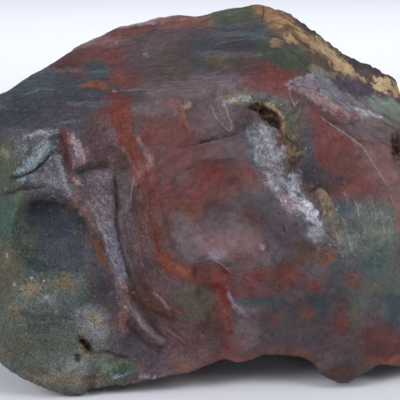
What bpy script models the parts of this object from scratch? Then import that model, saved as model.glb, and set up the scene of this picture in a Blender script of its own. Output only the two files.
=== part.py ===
"""A raw piece of green and red jasper, as broken from the outcrop: one solid stone, resting on its own base.

The front is looked at from a little above. Marks on it are placed by where they are seen in that front
view, in pixels of a picture 400 wide and 400 high; each pixel is a quarter of a millimetre on the stone.
"""

import math

import bmesh
import bpy
import numpy as np
from mathutils import Vector, noise

MM = 0.001

# Driving sizes of the stone
LENGTH = 130 * MM
DEPTH = 75 * MM
HEIGHT = 96 * MM
BASE_CUT = 0.8 * MM  # how much is cut off flat where the stone stands
GRAIN = 1.0 * MM  # spacing of the points that the shape is worked on
WORK_MIDDLE = np.array((1.5, 6, 0)) * MM  # the middle of the stone's foot while it is worked
TRIANGLES = 9200

# The front view: its middle, how far off the eye is, and how steeply it looks down
VIEW_MIDDLE = np.array((0, -20, 49.3)) * MM
VIEW_DISTANCE = 350 * MM
VIEW_TILT = math.radians(12)
TOWARDS_EYE = np.array((0, -math.cos(VIEW_TILT), math.sin(VIEW_TILT)))
VIEW_UP = np.array((0, math.sin(VIEW_TILT), math.cos(VIEW_TILT)))
PIXEL = 0.25 * MM
PICTURE_MIDDLE = 200
END_FADE = 0.16  # share of a step's length over which it rises at each end

# Fracture planes that bound the stone: a point on each in millimetres, and the way it faces
FRACTURES = {
    "front": ((-28, -27.5, 0), (0.08, -0.995, 0.06)),
    "striped_top": ((-12.5, -22, 73), (-0.155, -0.52, 0.84)),
    "top_left_back": ((-36, 0, 83.5), (-0.54, 0.36, 0.76)),
    "top_back": ((-4, 4.8, 93.5), (-0.12, 0.47, 0.874)),
    "rind": ((32.5, 6, 86.5), (0.46, -0.17, 0.87)),
    "top_right_back": ((32.5, 8, 87), (0.40, 0.45, 0.80)),
    "right_shoulder": ((38, -18.5, 63.7), (0.50, -0.58, 0.635)),
    "right_cheek": ((46, -20, 30), (0.40, -0.92, -0.02)),
    "right_end": ((60, -5, 40), (0.98, 0.12, 0.16)),
    "right_back": ((50, 20, 40), (0.72, 0.69, 0.05)),
    "back": ((0, 38, 45), (0.05, 0.97, 0.22)),
    "left_back": ((-42, 22, 40), (-0.62, 0.77, 0.15)),
    "left_end": ((-61, 0, 40), (-0.98, 0.08, 0.12)),
    "left_cheek": ((-45, -26.5, 45), (-0.70, -0.70, 0.10)),
    "left_under": ((-50, -22, 9), (-0.55, -0.25, -0.80)),
    "back_under": ((0, 36, 10), (0.0, 0.75, -0.66)),
}

# Shell-shaped scars and hollows: the middle and half sizes of the ellipsoid that shapes each, in millimetres
SCARS = {
    "front_dish": ((6, -86.5, 41), (56, 68, 74)),
    "left_hollow": ((-38.5, -42, 41), (18, 21, 21)),
    "back_dish": ((26, 118, 66), (84, 84, 76)),
    "back_low": ((-18, 88, 12), (58, 56, 44)),
    "back_step": ((-44, 66, 62), (34, 40, 34)),
    "left_flake": ((-112, 0, 26), (54, 44, 36)),
    "right_flake": ((118, 6, 58), (62, 48, 40)),
    "top_back_flake": ((-22, 62, 132), (60, 44, 52)),
}
WOBBLE = 3.5 * MM  # how uneven the scars are
WOBBLE_CELL = 24 * MM

# Hollows in the underside, cut upwards, in the same way
UNDERCUTS = {
    "arch": ((16, -26, -8), (17, 34, 17)),
    "arch_left": ((-5, -30, -10), (19, 26, 15)),
    "right_lift": ((58, -14, -11), (19, 40, 17)),
    "belly": ((0, 8, -14), (36, 22, 17)),
}

# The stone's outline in the front view, in pixels
OUTLINE_TOP = [
    (-10, 101), (0, 95), (17, 83), (30, 75), (51, 64), (60, 55), (80, 43), (96, 37), (110, 30), (130, 25),
    (152, 20), (171, 16), (200, 16), (222, 10), (240, 7), (252, 3), (271, 6), (287, 12), (305, 23),
    (319, 37), (340, 53), (360, 63), (379, 69), (400, 80), (412, 86),
]
OUTLINE_BOTTOM = [
    (-10, 353), (0, 361), (14, 374), (38, 388), (64, 397), (87, 399), (94, 391), (134, 390), (170, 384),
    (200, 377), (217, 368), (233, 370), (245, 372), (259, 364), (279, 362), (305, 367), (322, 379),
    (335, 388), (345, 391), (358, 382), (371, 374), (388, 373), (412, 378),
]

OUTLINE_STEP = 8  # width of the columns in which the outline is measured, in pixels
STILL_BELOW_TOP = 235  # the height in the picture below which the top's outline moves nothing
STILL_ABOVE_BOTTOM = 290  # and that above which the bottom's outline moves nothing

# Raised and sunken lines on the front: the line and its half width in pixels, its height in millimetres
RIDGES = {
    "mauve_ridge": ([(92, 178), (102, 190), (107, 215), (112, 240), (119, 268), (124, 292)], 9, 2.4),
    "ridge_foot": ([(124, 296), (126, 318), (124, 338)], 7, 1.2),
    "lower_strip": ([(133, 314), (146, 334), (160, 349)], 5, 0.9),
    "brown_ripple": ([(138, 296), (152, 310), (168, 322)], 7, 0.8),
    "groove_beside_ridge": ([(113, 182), (115, 212), (118, 240), (127, 274), (131, 290)], 5, -1.1),
    "upper_groove": ([(128, 298), (140, 313), (156, 329)], 4, -1.1),
    "lower_groove": ([(128, 328), (141, 345), (161, 358)], 4, -1.2),
    "green_fold": ([(18, 324), (48, 324), (80, 326)], 7, -0.9),
    "brown_groove": ([(76, 176), (90, 170), (105, 168)], 4, -0.8),
    "slanting_crack": ([(15, 181), (28, 178), (48, 165)], 4, -1.0),
    "notch": ([(91, 384), (89, 400)], 4, -1.5),
    "shelf_edge": ([(193, 272), (212, 268), (230, 279)], 5, 0.5),
}

# Steps in the front: a line in pixels, half the width of the riser and how far the step fades out, both in
# pixels, and the height in millimetres of the side on the right hand of someone walking along the line
LEDGES = {
    "white_band": (
        [(247, 108), (262, 140), (272, 168), (286, 190), (303, 212), (318, 236), (345, 262)], 9, 70, -3.0
    ),
    "rough_patch": ([(22, 136), (60, 132), (66, 150), (72, 172)], 4, 40, -1.3),
    "inner_block": ([(60, 134), (68, 160), (72, 190)], 4, 24, -0.8),
    "red_band": ([(220, 285), (226, 325), (232, 360)], 7, 26, -1.1),
    "shelf": ([(190, 272), (212, 267), (234, 281)], 4, 30, -0.9),
    "sparkling_corner": ([(288, 88), (308, 79), (324, 96), (352, 121)], 4, 30, -0.9),
}

# Pits and bulges on the front: the middle and half sizes in pixels, the turn in degrees, and the height
# in millimetres
BULGES = {
    "green_bulge": ((58, 350), (78, 44), -8, 4.0),
    "vug": ((269, 120), (14, 7), 50, -2.6),
    "small_pit": ((84, 351), (10, 4), 50, -1.6),
    "right_pit": ((396, 149), (7, 11), 0, -1.6),
    "lower_right_swell": ((345, 350), (50, 40), 0, 1.5),
}

# Ripples left by the blow that made the dish: the line of the first, their spacing and reach in pixels,
# and their height in millimetres
RIPPLE_LINE = [(128, 112), (140, 165), (148, 215), (160, 262), (185, 290), (215, 300)]
RIPPLE_SPACING = 15
RIPPLE_REACH = 34
RIPPLE_HEIGHT = 0.3

# How far the marks stray from their lines, in pixels, and the lumps all over the stone: cell and height
STRAY = 2.5
BROAD_LUMPS = (20 * MM, 0.8 * MM)
SMALL_LUMPS = (6 * MM, 0.4 * MM)


def seen_at(points):
    """Where each point is seen in the front view, in pixels from the top left, and how large it is seen."""
    offset = points - VIEW_MIDDLE
    nearer = VIEW_DISTANCE / (VIEW_DISTANCE - offset @ TOWARDS_EYE)
    across = PICTURE_MIDDLE + offset[:, 0] * nearer / PIXEL
    down = PICTURE_MIDDLE - (offset @ VIEW_UP) * nearer / PIXEL
    return np.stack([across, down], axis=1), nearer


def ease(value, low, high):
    """0 at low, 1 at high, and smooth between."""
    t = np.clip((value - low) / (high - low), 0, 1)
    return t * t * (3 - 2 * t)


def line_distance(seen, line):
    """How far each seen point is from a line through a few points, how far it is to the line's right, and a
    share that falls to 0 at the line's ends."""
    line = np.array(line, float)
    runs = np.diff(line, axis=0)
    lengths = np.linalg.norm(runs, axis=1)
    before = np.concatenate([[0], np.cumsum(lengths)[:-1]]) / lengths.sum()
    nearest = np.full(len(seen), np.inf)
    to_right = np.zeros(len(seen))
    along_all = np.zeros(len(seen))
    for start, run, length, passed in zip(line[:-1], runs, lengths, before):
        along = np.clip((seen - start) @ run / length**2, 0, 1)
        distance = np.linalg.norm(seen - start - along[:, None] * run, axis=1)
        turn = run[0] * (seen[:, 1] - start[1]) - run[1] * (seen[:, 0] - start[0])
        closer = distance < nearest
        nearest[closer] = distance[closer]
        to_right[closer] = (np.sign(turn) * distance)[closer]
        along_all[closer] = (passed + along * length / lengths.sum())[closer]
    fade = ease(along_all, 0, END_FADE) * ease(1 - along_all, 0, END_FADE)
    return nearest, to_right, fade


def broken_block():
    """A block larger than the stone, cut along each fracture plane."""
    block = bmesh.new()
    bmesh.ops.create_cube(block, size=1)
    bmesh.ops.scale(block, vec=(LENGTH * 1.2, DEPTH * 1.3, HEIGHT * 1.2), verts=block.verts)
    bmesh.ops.translate(block, vec=(0, 0, HEIGHT * 0.6 - BASE_CUT), verts=block.verts)
    for point, facing in FRACTURES.values():
        whole = block.verts[:] + block.edges[:] + block.faces[:]
        cut = bmesh.ops.bisect_plane(
            block, geom=whole, plane_co=Vector(point) * MM, plane_no=Vector(facing), clear_outer=True
        )
        rim = [e for e in cut["geom_cut"] if isinstance(e, bmesh.types.BMEdge)]
        bmesh.ops.holes_fill(block, edges=rim)
    mesh = bpy.data.meshes.new("block")
    block.to_mesh(mesh)
    block.free()
    return mesh


def with_modifiers(mesh, settings):
    """The mesh after a row of modifiers, each given as its type and its settings."""
    holder = bpy.data.objects.new("holder", mesh)
    bpy.context.collection.objects.link(holder)
    for kind, values in settings:
        modifier = holder.modifiers.new(kind.lower(), kind)
        for name, value in values.items():
            setattr(modifier, name, value)
    graph = bpy.context.evaluated_depsgraph_get()
    result = bpy.data.meshes.new_from_object(holder.evaluated_get(graph))
    bpy.data.objects.remove(holder)
    bpy.data.meshes.remove(mesh)
    return result


def points_of(mesh):
    points = np.empty(len(mesh.vertices) * 3)
    mesh.vertices.foreach_get("co", points)
    return points.reshape(-1, 3)


def normals_of(mesh):
    normals = np.empty(len(mesh.vertices) * 3)
    mesh.vertex_normals.foreach_get("vector", normals)
    return normals.reshape(-1, 3)


def move_points(mesh, points):
    mesh.vertices.foreach_set("co", points.ravel())
    mesh.update()


def hollow_out(points, wobble, middle, halves):
    """Points inside an ellipsoid, made uneven by the wobble, go out to its surface and leave a hollow."""
    middle, halves = np.array(middle) * MM, np.array(halves) * MM
    offset = (points + wobble - middle) / halves
    reach = np.linalg.norm(offset, axis=1, keepdims=True)
    return points + np.where(reach < 1, offset * (1 / np.maximum(reach, 0.01) - 1) * halves, 0)


def undercut(points, middle, halves):
    """Points of the underside inside an ellipsoid go straight up to its roof."""
    middle, halves = np.array(middle) * MM, np.array(halves) * MM
    inside = 1 - (((points[:, :2] - middle[:2]) / halves[:2]) ** 2).sum(axis=1)
    roof = np.where(inside > 0, middle[2] + halves[2] * np.sqrt(np.maximum(inside, 0)), points[:, 2])
    lifted = points.copy()
    lifted[:, 2] = np.maximum(points[:, 2], roof)
    return lifted


def fit_outline(points, outline, highest):
    """Stretches the stone up or down until its outline in the front view is the given one."""
    seen, nearer = seen_at(points)
    slots = np.arange(0, 2 * PICTURE_MIDDLE + 1, OUTLINE_STEP)
    slot = np.round(seen[:, 0] / OUTLINE_STEP).astype(int)
    columns = [seen[slot == k, 1] for k in range(len(slots))]
    edge = np.array([column.min() if highest else column.max() for column in columns])
    gap = edge - np.interp(slots, *np.array(outline, float).T)
    for _ in range(2):
        gap = np.convolve(np.pad(gap, 1, mode="edge"), (0.25, 0.5, 0.25), mode="valid")
    edge_here = np.interp(seen[:, 0], slots, edge)
    still = STILL_BELOW_TOP if highest else STILL_ABOVE_BOTTOM
    share = ease((seen[:, 1] - still) / (edge_here - still), 0, 1)
    rise = np.interp(seen[:, 0], slots, gap) * share * PIXEL / nearer
    return points + rise[:, None] * VIEW_UP


def fractal(points, cell, seed, octaves=3):
    """Smooth noise, about -1 to 1, whose largest lumps are one cell across."""
    shift = Vector((seed * 7.31, seed * 3.17, seed * 5.77))
    return np.array([noise.fractal(Vector(p) / cell + shift, 0.9, 2.0, octaves) for p in points])


def front_relief(points, normals):
    """The height of the front's ridges, steps, pits and ripples at each point."""
    seen, _ = seen_at(points)
    seen = seen + STRAY * np.stack([fractal(points, 5 * MM, seed, 2) for seed in (11, 12)], axis=1)
    height = np.zeros(len(points))
    for line, half_width, rise in RIDGES.values():
        distance, _, _ = line_distance(seen, line)
        height += rise * np.exp(-((distance / half_width) ** 2))
    for line, half_riser, fade, rise in LEDGES.values():
        distance, to_right, ends = line_distance(seen, line)
        height += rise * ends * ease(to_right, -half_riser, half_riser) * np.exp(-((distance / fade) ** 2))
    for (across, down), (half_long, half_short), turn, rise in BULGES.values():
        turn = math.radians(turn)
        off = seen - (across, down)
        long_way = (off[:, 0] * math.cos(turn) + off[:, 1] * math.sin(turn)) / half_long
        short_way = (off[:, 1] * math.cos(turn) - off[:, 0] * math.sin(turn)) / half_short
        height += rise * np.exp(-(long_way**2 + short_way**2))
    distance, to_right, ends = line_distance(seen, RIPPLE_LINE)
    waves = np.sin(to_right * 2 * math.pi / RIPPLE_SPACING) * np.exp(-((distance / RIPPLE_REACH) ** 2))
    height += RIPPLE_HEIGHT * ends * waves
    return height * MM * ease(normals @ TOWARDS_EYE, 0.1, 0.45)  # nothing where the surface turns away


def stand_on_base(mesh):
    """Cuts the stone off flat at its foot."""
    stone = bmesh.new()
    stone.from_mesh(mesh)
    whole = stone.verts[:] + stone.edges[:] + stone.faces[:]
    cut = bmesh.ops.bisect_plane(
        stone, geom=whole, plane_co=(0, 0, 0), plane_no=(0, 0, 1), clear_inner=True
    )
    rim = [e for e in cut["geom_cut"] if isinstance(e, bmesh.types.BMEdge)]
    bmesh.ops.holes_fill(stone, edges=rim)
    bmesh.ops.triangulate(stone, faces=stone.faces[:])
    stone.to_mesh(mesh)
    stone.free()


def fill_box(points):
    """Brings each side of the stone to its stated distance from the middle of its foot, above the origin."""
    points = points - WORK_MIDDLE
    stretch_up = np.array((LENGTH / 2, DEPTH / 2, HEIGHT)) / points.max(axis=0)
    stretch_down = np.array((LENGTH / 2, DEPTH / 2, HEIGHT)) / -points.min(axis=0)
    stretch_down[2] = stretch_up[2]
    return points * np.where(points > 0, stretch_up, stretch_down)


def jasper_finish():
    finish = bpy.data.materials.new("jasper")
    finish.use_nodes = True
    shader = finish.node_tree.nodes["Principled BSDF"]
    shader.inputs["Base Color"].default_value = (0.11, 0.065, 0.06, 1)
    shader.inputs["Roughness"].default_value = 0.45
    shader.inputs["Metallic"].default_value = 0
    return finish


def jasper():
    """The whole stone, worked from the broken block."""
    smooth = ("SMOOTH", {"factor": 0.5, "iterations": 4})
    even = ("REMESH", {"mode": "VOXEL", "voxel_size": GRAIN})
    mesh = with_modifiers(broken_block(), [even, smooth])
    points = points_of(mesh)
    wobble = WOBBLE * np.stack([fractal(points, WOBBLE_CELL, seed) for seed in (21, 22, 23)], axis=1)
    for middle, halves in SCARS.values():
        points = hollow_out(points, wobble, middle, halves)
    for middle, halves in UNDERCUTS.values():
        points = undercut(points, middle, halves)
    for _ in range(2):
        points = fit_outline(points, OUTLINE_TOP, True)
        points = fit_outline(points, OUTLINE_BOTTOM, False)
    move_points(mesh, points)
    mesh = with_modifiers(mesh, [even, ("SMOOTH", {"factor": 0.5, "iterations": 2})])
    points, normals = points_of(mesh), normals_of(mesh)
    height = front_relief(points, normals)
    for seed, (cell, rise) in enumerate((BROAD_LUMPS, SMALL_LUMPS), start=1):
        height += rise * fractal(points, cell, seed, 2)
    points = fill_box(points + normals * height[:, None])
    move_points(mesh, points)
    mesh = with_modifiers(mesh, [("DECIMATE", {"ratio": TRIANGLES / (2 * len(mesh.polygons))})])
    stand_on_base(mesh)
    mesh.name = "jasper"
    mesh.materials.append(jasper_finish())
    return bpy.data.objects.new("jasper", mesh)


for old in list(bpy.data.objects):
    bpy.data.objects.remove(old)
stones = bpy.data.collections.new("raw_jasper")
bpy.context.scene.collection.children.link(stones)
stones.objects.link(jasper())
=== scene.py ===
import math

import bmesh
import bpy
import numpy as np
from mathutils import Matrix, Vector, noise


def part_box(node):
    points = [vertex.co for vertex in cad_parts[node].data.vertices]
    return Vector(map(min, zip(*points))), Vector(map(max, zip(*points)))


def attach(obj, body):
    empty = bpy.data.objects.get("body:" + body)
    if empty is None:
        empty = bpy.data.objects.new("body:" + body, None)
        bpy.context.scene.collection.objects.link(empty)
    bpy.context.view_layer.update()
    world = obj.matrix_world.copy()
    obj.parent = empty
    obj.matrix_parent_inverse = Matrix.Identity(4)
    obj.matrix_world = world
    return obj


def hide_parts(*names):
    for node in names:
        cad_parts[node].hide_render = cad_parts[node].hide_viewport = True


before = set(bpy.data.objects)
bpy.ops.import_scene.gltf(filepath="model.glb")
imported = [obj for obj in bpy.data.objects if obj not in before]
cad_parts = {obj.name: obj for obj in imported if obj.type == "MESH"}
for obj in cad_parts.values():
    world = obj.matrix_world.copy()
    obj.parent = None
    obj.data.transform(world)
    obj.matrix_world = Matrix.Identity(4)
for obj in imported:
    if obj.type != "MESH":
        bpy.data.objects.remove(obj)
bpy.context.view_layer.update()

# The stone's form
# A raw block of jasper as it was struck from its outcrop. Flat fractures bound it, and blows have left
# shell-shaped scars in them. It is worked as a block that is cut, hollowed, and drawn to its outline.
MM = 0.001
LENGTH, DEPTH, HEIGHT = 130 * MM, 75 * MM, 96 * MM
BASE_CUT = 0.8 * MM
ROUGH_BLOCK = (LENGTH * 1.2, DEPTH * 1.3, HEIGHT * 1.2)
ROUGH_BLOCK_MIDDLE = (0, 0, HEIGHT * 0.6 - BASE_CUT)
WORK_MIDDLE = np.array((1.5, 6, 0)) * MM
BLOCK_GRAIN = 1.0 * MM
SKIN_GRAIN = 0.43 * MM

# Marks on the front are placed where they are seen from the front, a little from above, in pixels of a
# picture 400 wide and 400 high, each a quarter of a millimetre on the stone.
VIEW_MIDDLE = np.array((0, -20, 49.3)) * MM
VIEW_DISTANCE = 350 * MM
VIEW_TILT = math.radians(12)
TOWARDS_EYE = np.array((0, -math.cos(VIEW_TILT), math.sin(VIEW_TILT)))
VIEW_UP = np.array((0, math.sin(VIEW_TILT), math.cos(VIEW_TILT)))
PIXEL = 0.25 * MM
PICTURE_MIDDLE = 200

# Each fracture plane: a point on it in millimetres, and the way it faces
FRACTURES = {
    "front": ((-28, -27.5, 0), (0.08, -0.995, 0.06)),
    "striped_top": ((-12.5, -22, 73), (-0.155, -0.52, 0.84)),
    "top_left_back": ((-36, 0, 83.5), (-0.54, 0.36, 0.76)),
    "top_back": ((-4, 4.8, 93.5), (-0.12, 0.47, 0.874)),
    "rind": ((32.5, 6, 86.5), (0.46, -0.17, 0.87)),
    "top_right_back": ((32.5, 8, 87), (0.40, 0.45, 0.80)),
    "right_shoulder": ((38, -18.5, 63.7), (0.50, -0.58, 0.635)),
    "right_cheek": ((46, -20, 30), (0.40, -0.92, -0.02)),
    "right_end": ((60, -5, 40), (0.98, 0.12, 0.16)),
    "right_back": ((50, 20, 40), (0.72, 0.69, 0.05)),
    "back": ((0, 38, 45), (0.05, 0.97, 0.22)),
    "left_back": ((-42, 22, 40), (-0.62, 0.77, 0.15)),
    "left_end": ((-61, 0, 40), (-0.98, 0.08, 0.12)),
    "left_cheek": ((-45, -26.5, 45), (-0.70, -0.70, 0.10)),
    "left_under": ((-50, -22, 9), (-0.55, -0.25, -0.80)),
    "back_under": ((0, 36, 10), (0.0, 0.75, -0.66)),
}

# Scars, and hollows of the underside: the middle and half sizes of the ellipsoid that shapes each
SCARS = {
    "front_dish": ((6, -86.5, 41), (56, 68, 74)),
    "left_hollow": ((-38.5, -42, 41), (18, 21, 21)),
    "back_dish": ((26, 118, 66), (84, 84, 76)),
    "back_low": ((-18, 88, 12), (58, 56, 44)),
    "back_step": ((-44, 66, 62), (34, 40, 34)),
    "left_flake": ((-112, 0, 26), (54, 44, 36)),
    "right_flake": ((118, 6, 58), (62, 48, 40)),
    "top_back_flake": ((-22, 62, 132), (60, 44, 52)),
}
WOBBLE = 3.5 * MM
WOBBLE_CELL = 24 * MM
WOBBLE_SEEDS = (21, 22, 23)
UNDERCUTS = {
    "arch": ((16, -26, -8), (17, 34, 17)),
    "arch_left": ((-5, -30, -10), (19, 26, 15)),
    "right_lift": ((58, -14, -11), (19, 40, 17)),
    "belly": ((0, 8, -14), (36, 22, 17)),
}

# The outline as it is seen from the front, in the same pixels, and where it stops pulling the stone
OUTLINE_TOP = [
    (-10, 101), (0, 95), (17, 83), (30, 75), (51, 64), (60, 55), (80, 43), (96, 37), (110, 30), (130, 25),
    (152, 20), (171, 16), (200, 16), (222, 10), (240, 7), (252, 3), (271, 6), (287, 12), (305, 23),
    (319, 37), (340, 53), (360, 63), (379, 69), (400, 80), (412, 86),
]
OUTLINE_BOTTOM = [
    (-10, 353), (0, 361), (14, 374), (38, 388), (64, 397), (87, 399), (94, 391), (134, 390), (170, 384),
    (200, 377), (217, 368), (233, 370), (245, 372), (259, 364), (279, 362), (305, 367), (322, 379),
    (335, 388), (345, 391), (358, 382), (371, 374), (388, 373), (412, 378),
]
OUTLINE_STEP = 8
STILL_BELOW_TOP = 235
STILL_ABOVE_BOTTOM = 290
SOFTENED = (0.25, 0.5, 0.25)
LUMP_FALLOFF, LUMP_STEP = 0.9, 2.0


def ease(value, low, high):
    """0 below low, 1 above high, and smooth between them."""
    t = np.clip((value - low) / (high - low), 0, 1)
    return t * t * (3 - 2 * t)


def lumps(points, cell, seed, octaves=3):
    """Smooth noise, about -1 to 1, whose largest lumps are one cell across."""
    shift = Vector((seed * 7.31, seed * 3.17, seed * 5.77))
    places = (Vector(p) / cell + shift for p in points)
    return np.array([noise.fractal(place, LUMP_FALLOFF, LUMP_STEP, octaves) for place in places])


def seen_at(points):
    """Where each point is seen from the front, in pixels across and down, and how much nearer it looks."""
    offset = points - VIEW_MIDDLE
    nearer = VIEW_DISTANCE / (VIEW_DISTANCE - offset @ TOWARDS_EYE)
    across = PICTURE_MIDDLE + offset[:, 0] * nearer / PIXEL
    down = PICTURE_MIDDLE - (offset @ VIEW_UP) * nearer / PIXEL
    return np.stack([across, down], axis=1), nearer


def points_of(mesh):
    points = np.empty(len(mesh.vertices) * 3)
    mesh.vertices.foreach_get("co", points)
    return points.reshape(-1, 3)


def normals_of(mesh):
    normals = np.empty(len(mesh.vertices) * 3)
    mesh.vertex_normals.foreach_get("vector", normals)
    return normals.reshape(-1, 3)


def move_points(mesh, points):
    mesh.vertices.foreach_set("co", points.ravel())
    mesh.update()


def with_modifiers(mesh, settings, weights=None):
    """The mesh after a row of modifiers; weights makes a vertex group named share."""
    holder = bpy.data.objects.new("holder", mesh)
    bpy.context.collection.objects.link(holder)
    if weights is not None:
        group = holder.vertex_groups.new(name="share")
        for level in np.unique(weights):
            group.add(np.flatnonzero(weights == level).tolist(), float(level), "REPLACE")
    for kind, values in settings:
        modifier = holder.modifiers.new(kind.lower(), kind)
        for name, value in values.items():
            setattr(modifier, name, value)
    graph = bpy.context.evaluated_depsgraph_get()
    result = bpy.data.meshes.new_from_object(holder.evaluated_get(graph))
    bpy.data.objects.remove(holder)
    bpy.data.meshes.remove(mesh)
    return result


def hollow_out(points, wobble, middle, halves):
    """Points inside a wobbly ellipsoid move out to its skin, as a blow takes a shell out of the stone."""
    middle, halves = np.array(middle) * MM, np.array(halves) * MM
    offset = (points + wobble - middle) / halves
    reach = np.linalg.norm(offset, axis=1, keepdims=True)
    return points + np.where(reach < 1, offset * (1 / np.maximum(reach, 0.01) - 1) * halves, 0)


def undercut(points, middle, halves):
    """The underside is lifted to the top of an ellipsoid."""
    middle, halves = np.array(middle) * MM, np.array(halves) * MM
    inside = 1 - (((points[:, :2] - middle[:2]) / halves[:2]) ** 2).sum(axis=1)
    roof = np.where(inside > 0, middle[2] + halves[2] * np.sqrt(np.maximum(inside, 0)), points[:, 2])
    lifted = points.copy()
    lifted[:, 2] = np.maximum(points[:, 2], roof)
    return lifted


def fit_outline(points, outline, highest):
    """The upper or lower edge is drawn to an outline, less and less towards the middle of the front."""
    seen, nearer = seen_at(points)
    slots = np.arange(0, 2 * PICTURE_MIDDLE + 1, OUTLINE_STEP)
    slot = np.round(seen[:, 0] / OUTLINE_STEP).astype(int)
    columns = [seen[slot == k, 1] for k in range(len(slots))]
    edge = np.array([column.min() if highest else column.max() for column in columns])
    gap = edge - np.interp(slots, *np.array(outline, float).T)
    for _ in range(2):
        gap = np.convolve(np.pad(gap, 1, mode="edge"), SOFTENED, mode="valid")
    edge_here = np.interp(seen[:, 0], slots, edge)
    still = STILL_BELOW_TOP if highest else STILL_ABOVE_BOTTOM
    share = ease((seen[:, 1] - still) / (edge_here - still), 0, 1)
    rise = np.interp(seen[:, 0], slots, gap) * share * PIXEL / nearer
    return points + rise[:, None] * VIEW_UP


block = bmesh.new()
bmesh.ops.create_cube(block, size=1)
bmesh.ops.scale(block, vec=ROUGH_BLOCK, verts=block.verts)
bmesh.ops.translate(block, vec=ROUGH_BLOCK_MIDDLE, verts=block.verts)
for point, facing in FRACTURES.values():
    whole = block.verts[:] + block.edges[:] + block.faces[:]
    cut = bmesh.ops.bisect_plane(
        block, geom=whole, plane_co=Vector(point) * MM, plane_no=Vector(facing), clear_outer=True
    )
    rim = [e for e in cut["geom_cut"] if isinstance(e, bmesh.types.BMEdge)]
    bmesh.ops.holes_fill(block, edges=rim)
form = bpy.data.meshes.new("block")
block.to_mesh(form)
block.free()

form = with_modifiers(form, [
    ("REMESH", {"mode": "VOXEL", "voxel_size": BLOCK_GRAIN}),
    ("SMOOTH", {"factor": 0.5, "iterations": 4}),
])
points = points_of(form)
wobble = WOBBLE * np.stack([lumps(points, WOBBLE_CELL, seed) for seed in WOBBLE_SEEDS], axis=1)
for middle, halves in SCARS.values():
    points = hollow_out(points, wobble, middle, halves)
for middle, halves in UNDERCUTS.values():
    points = undercut(points, middle, halves)
for _ in range(2):
    points = fit_outline(points, OUTLINE_TOP, True)
    points = fit_outline(points, OUTLINE_BOTTOM, False)
move_points(form, points)
form = with_modifiers(form, [
    ("REMESH", {"mode": "VOXEL", "voxel_size": SKIN_GRAIN}),
    ("SMOOTH", {"factor": 0.5, "iterations": 5}),
])

# The broken surface
# Jasper breaks like glass where it is pure, in dishes and ripples, and like sugar where quartz runs through
# it. The front's ridge, steps, cracks and pits are raised and sunk here, then its rough and scratched areas.

# Ridges, and grooves where the height is below 0: a line, its half width and its height in millimetres
RIDGES = {
    "mauve_ridge": ([(99, 182), (103, 200), (107, 220), (111, 242), (117, 264), (123, 288)], 11, 1.5),
    "ridge_head": ([(96, 180), (106, 196)], 11, 0.9),
    "low_left_crack": ([(0, 200), (10, 197), (22, 193), (45, 190)], 1.6, -0.6),
    "ridge_foot": ([(124, 296), (126, 318), (124, 338)], 7, 1.2),
    "lower_strip": ([(133, 314), (146, 334), (160, 349)], 5, 0.9),
    "brown_ripple": ([(138, 296), (152, 310), (168, 322)], 7, 0.8),
    "groove_beside_ridge": (
        [(114, 186), (116, 205), (116, 232), (121, 252), (128, 276), (133, 294)], 1.8, -0.8
    ),
    "upper_groove": ([(128, 298), (140, 313), (156, 329)], 4.5, -0.8),
    "lower_groove": ([(128, 328), (141, 345), (161, 358)], 4.5, -1.0),
    "green_fold": ([(18, 324), (48, 324), (80, 326)], 7, -0.9),
    "brown_groove": ([(76, 176), (90, 170), (105, 168)], 3.5, -0.9),
    "slanting_crack": ([(12, 183), (22, 180), (34, 174), (42, 166), (50, 157)], 1.8, -1.3),
    "notch": ([(91, 384), (89, 400)], 4, -1.5),
    "shelf_edge": ([(193, 272), (212, 268), (230, 279)], 5, 0.5),
    "red_ripple": ([(118, 128), (128, 150), (141, 172), (150, 195)], 3, 0.5),
    "grey_hollow": ([(124, 176), (128, 198)], 5, -0.7),
    "pale_ripple": ([(133, 186), (129, 212)], 2, 0.35),
    "fan_ripple_left": ([(213, 108), (217, 121), (226, 132), (233, 137)], 2, 0.4),
    "fan_ripple_right": ([(224, 106), (229, 122), (236, 137)], 2, 0.4),
    "orange_ripple": ([(180, 105), (185, 124), (191, 136)], 2.4, 0.4),
    "level_crack": ([(200, 146), (212, 144), (224, 140), (234, 137), (240, 135)], 1.6, -0.8),
    "arris": ([(318, 119), (345, 140), (366, 155), (379, 177), (391, 194)], 3, 0.35),
    "shoulder_crack": ([(335, 123), (348, 126), (362, 122)], 2.2, -0.6),
    "base_crack": ([(98, 357), (110, 358), (126, 366)], 2.4, -0.8),
    "ochre_groove": ([(280, 136), (288, 146), (299, 152), (292, 168)], 2.4, -0.7),
    "rind_crack": ([(262, 4), (263, 18)], 1.8, -0.7),
    "small_ripple": ([(160, 334), (172, 340), (184, 350)], 2.4, 0.4),
    "lower_edge_ripple": ([(163, 300), (176, 311), (184, 326)], 3, -0.4),
}
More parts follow.
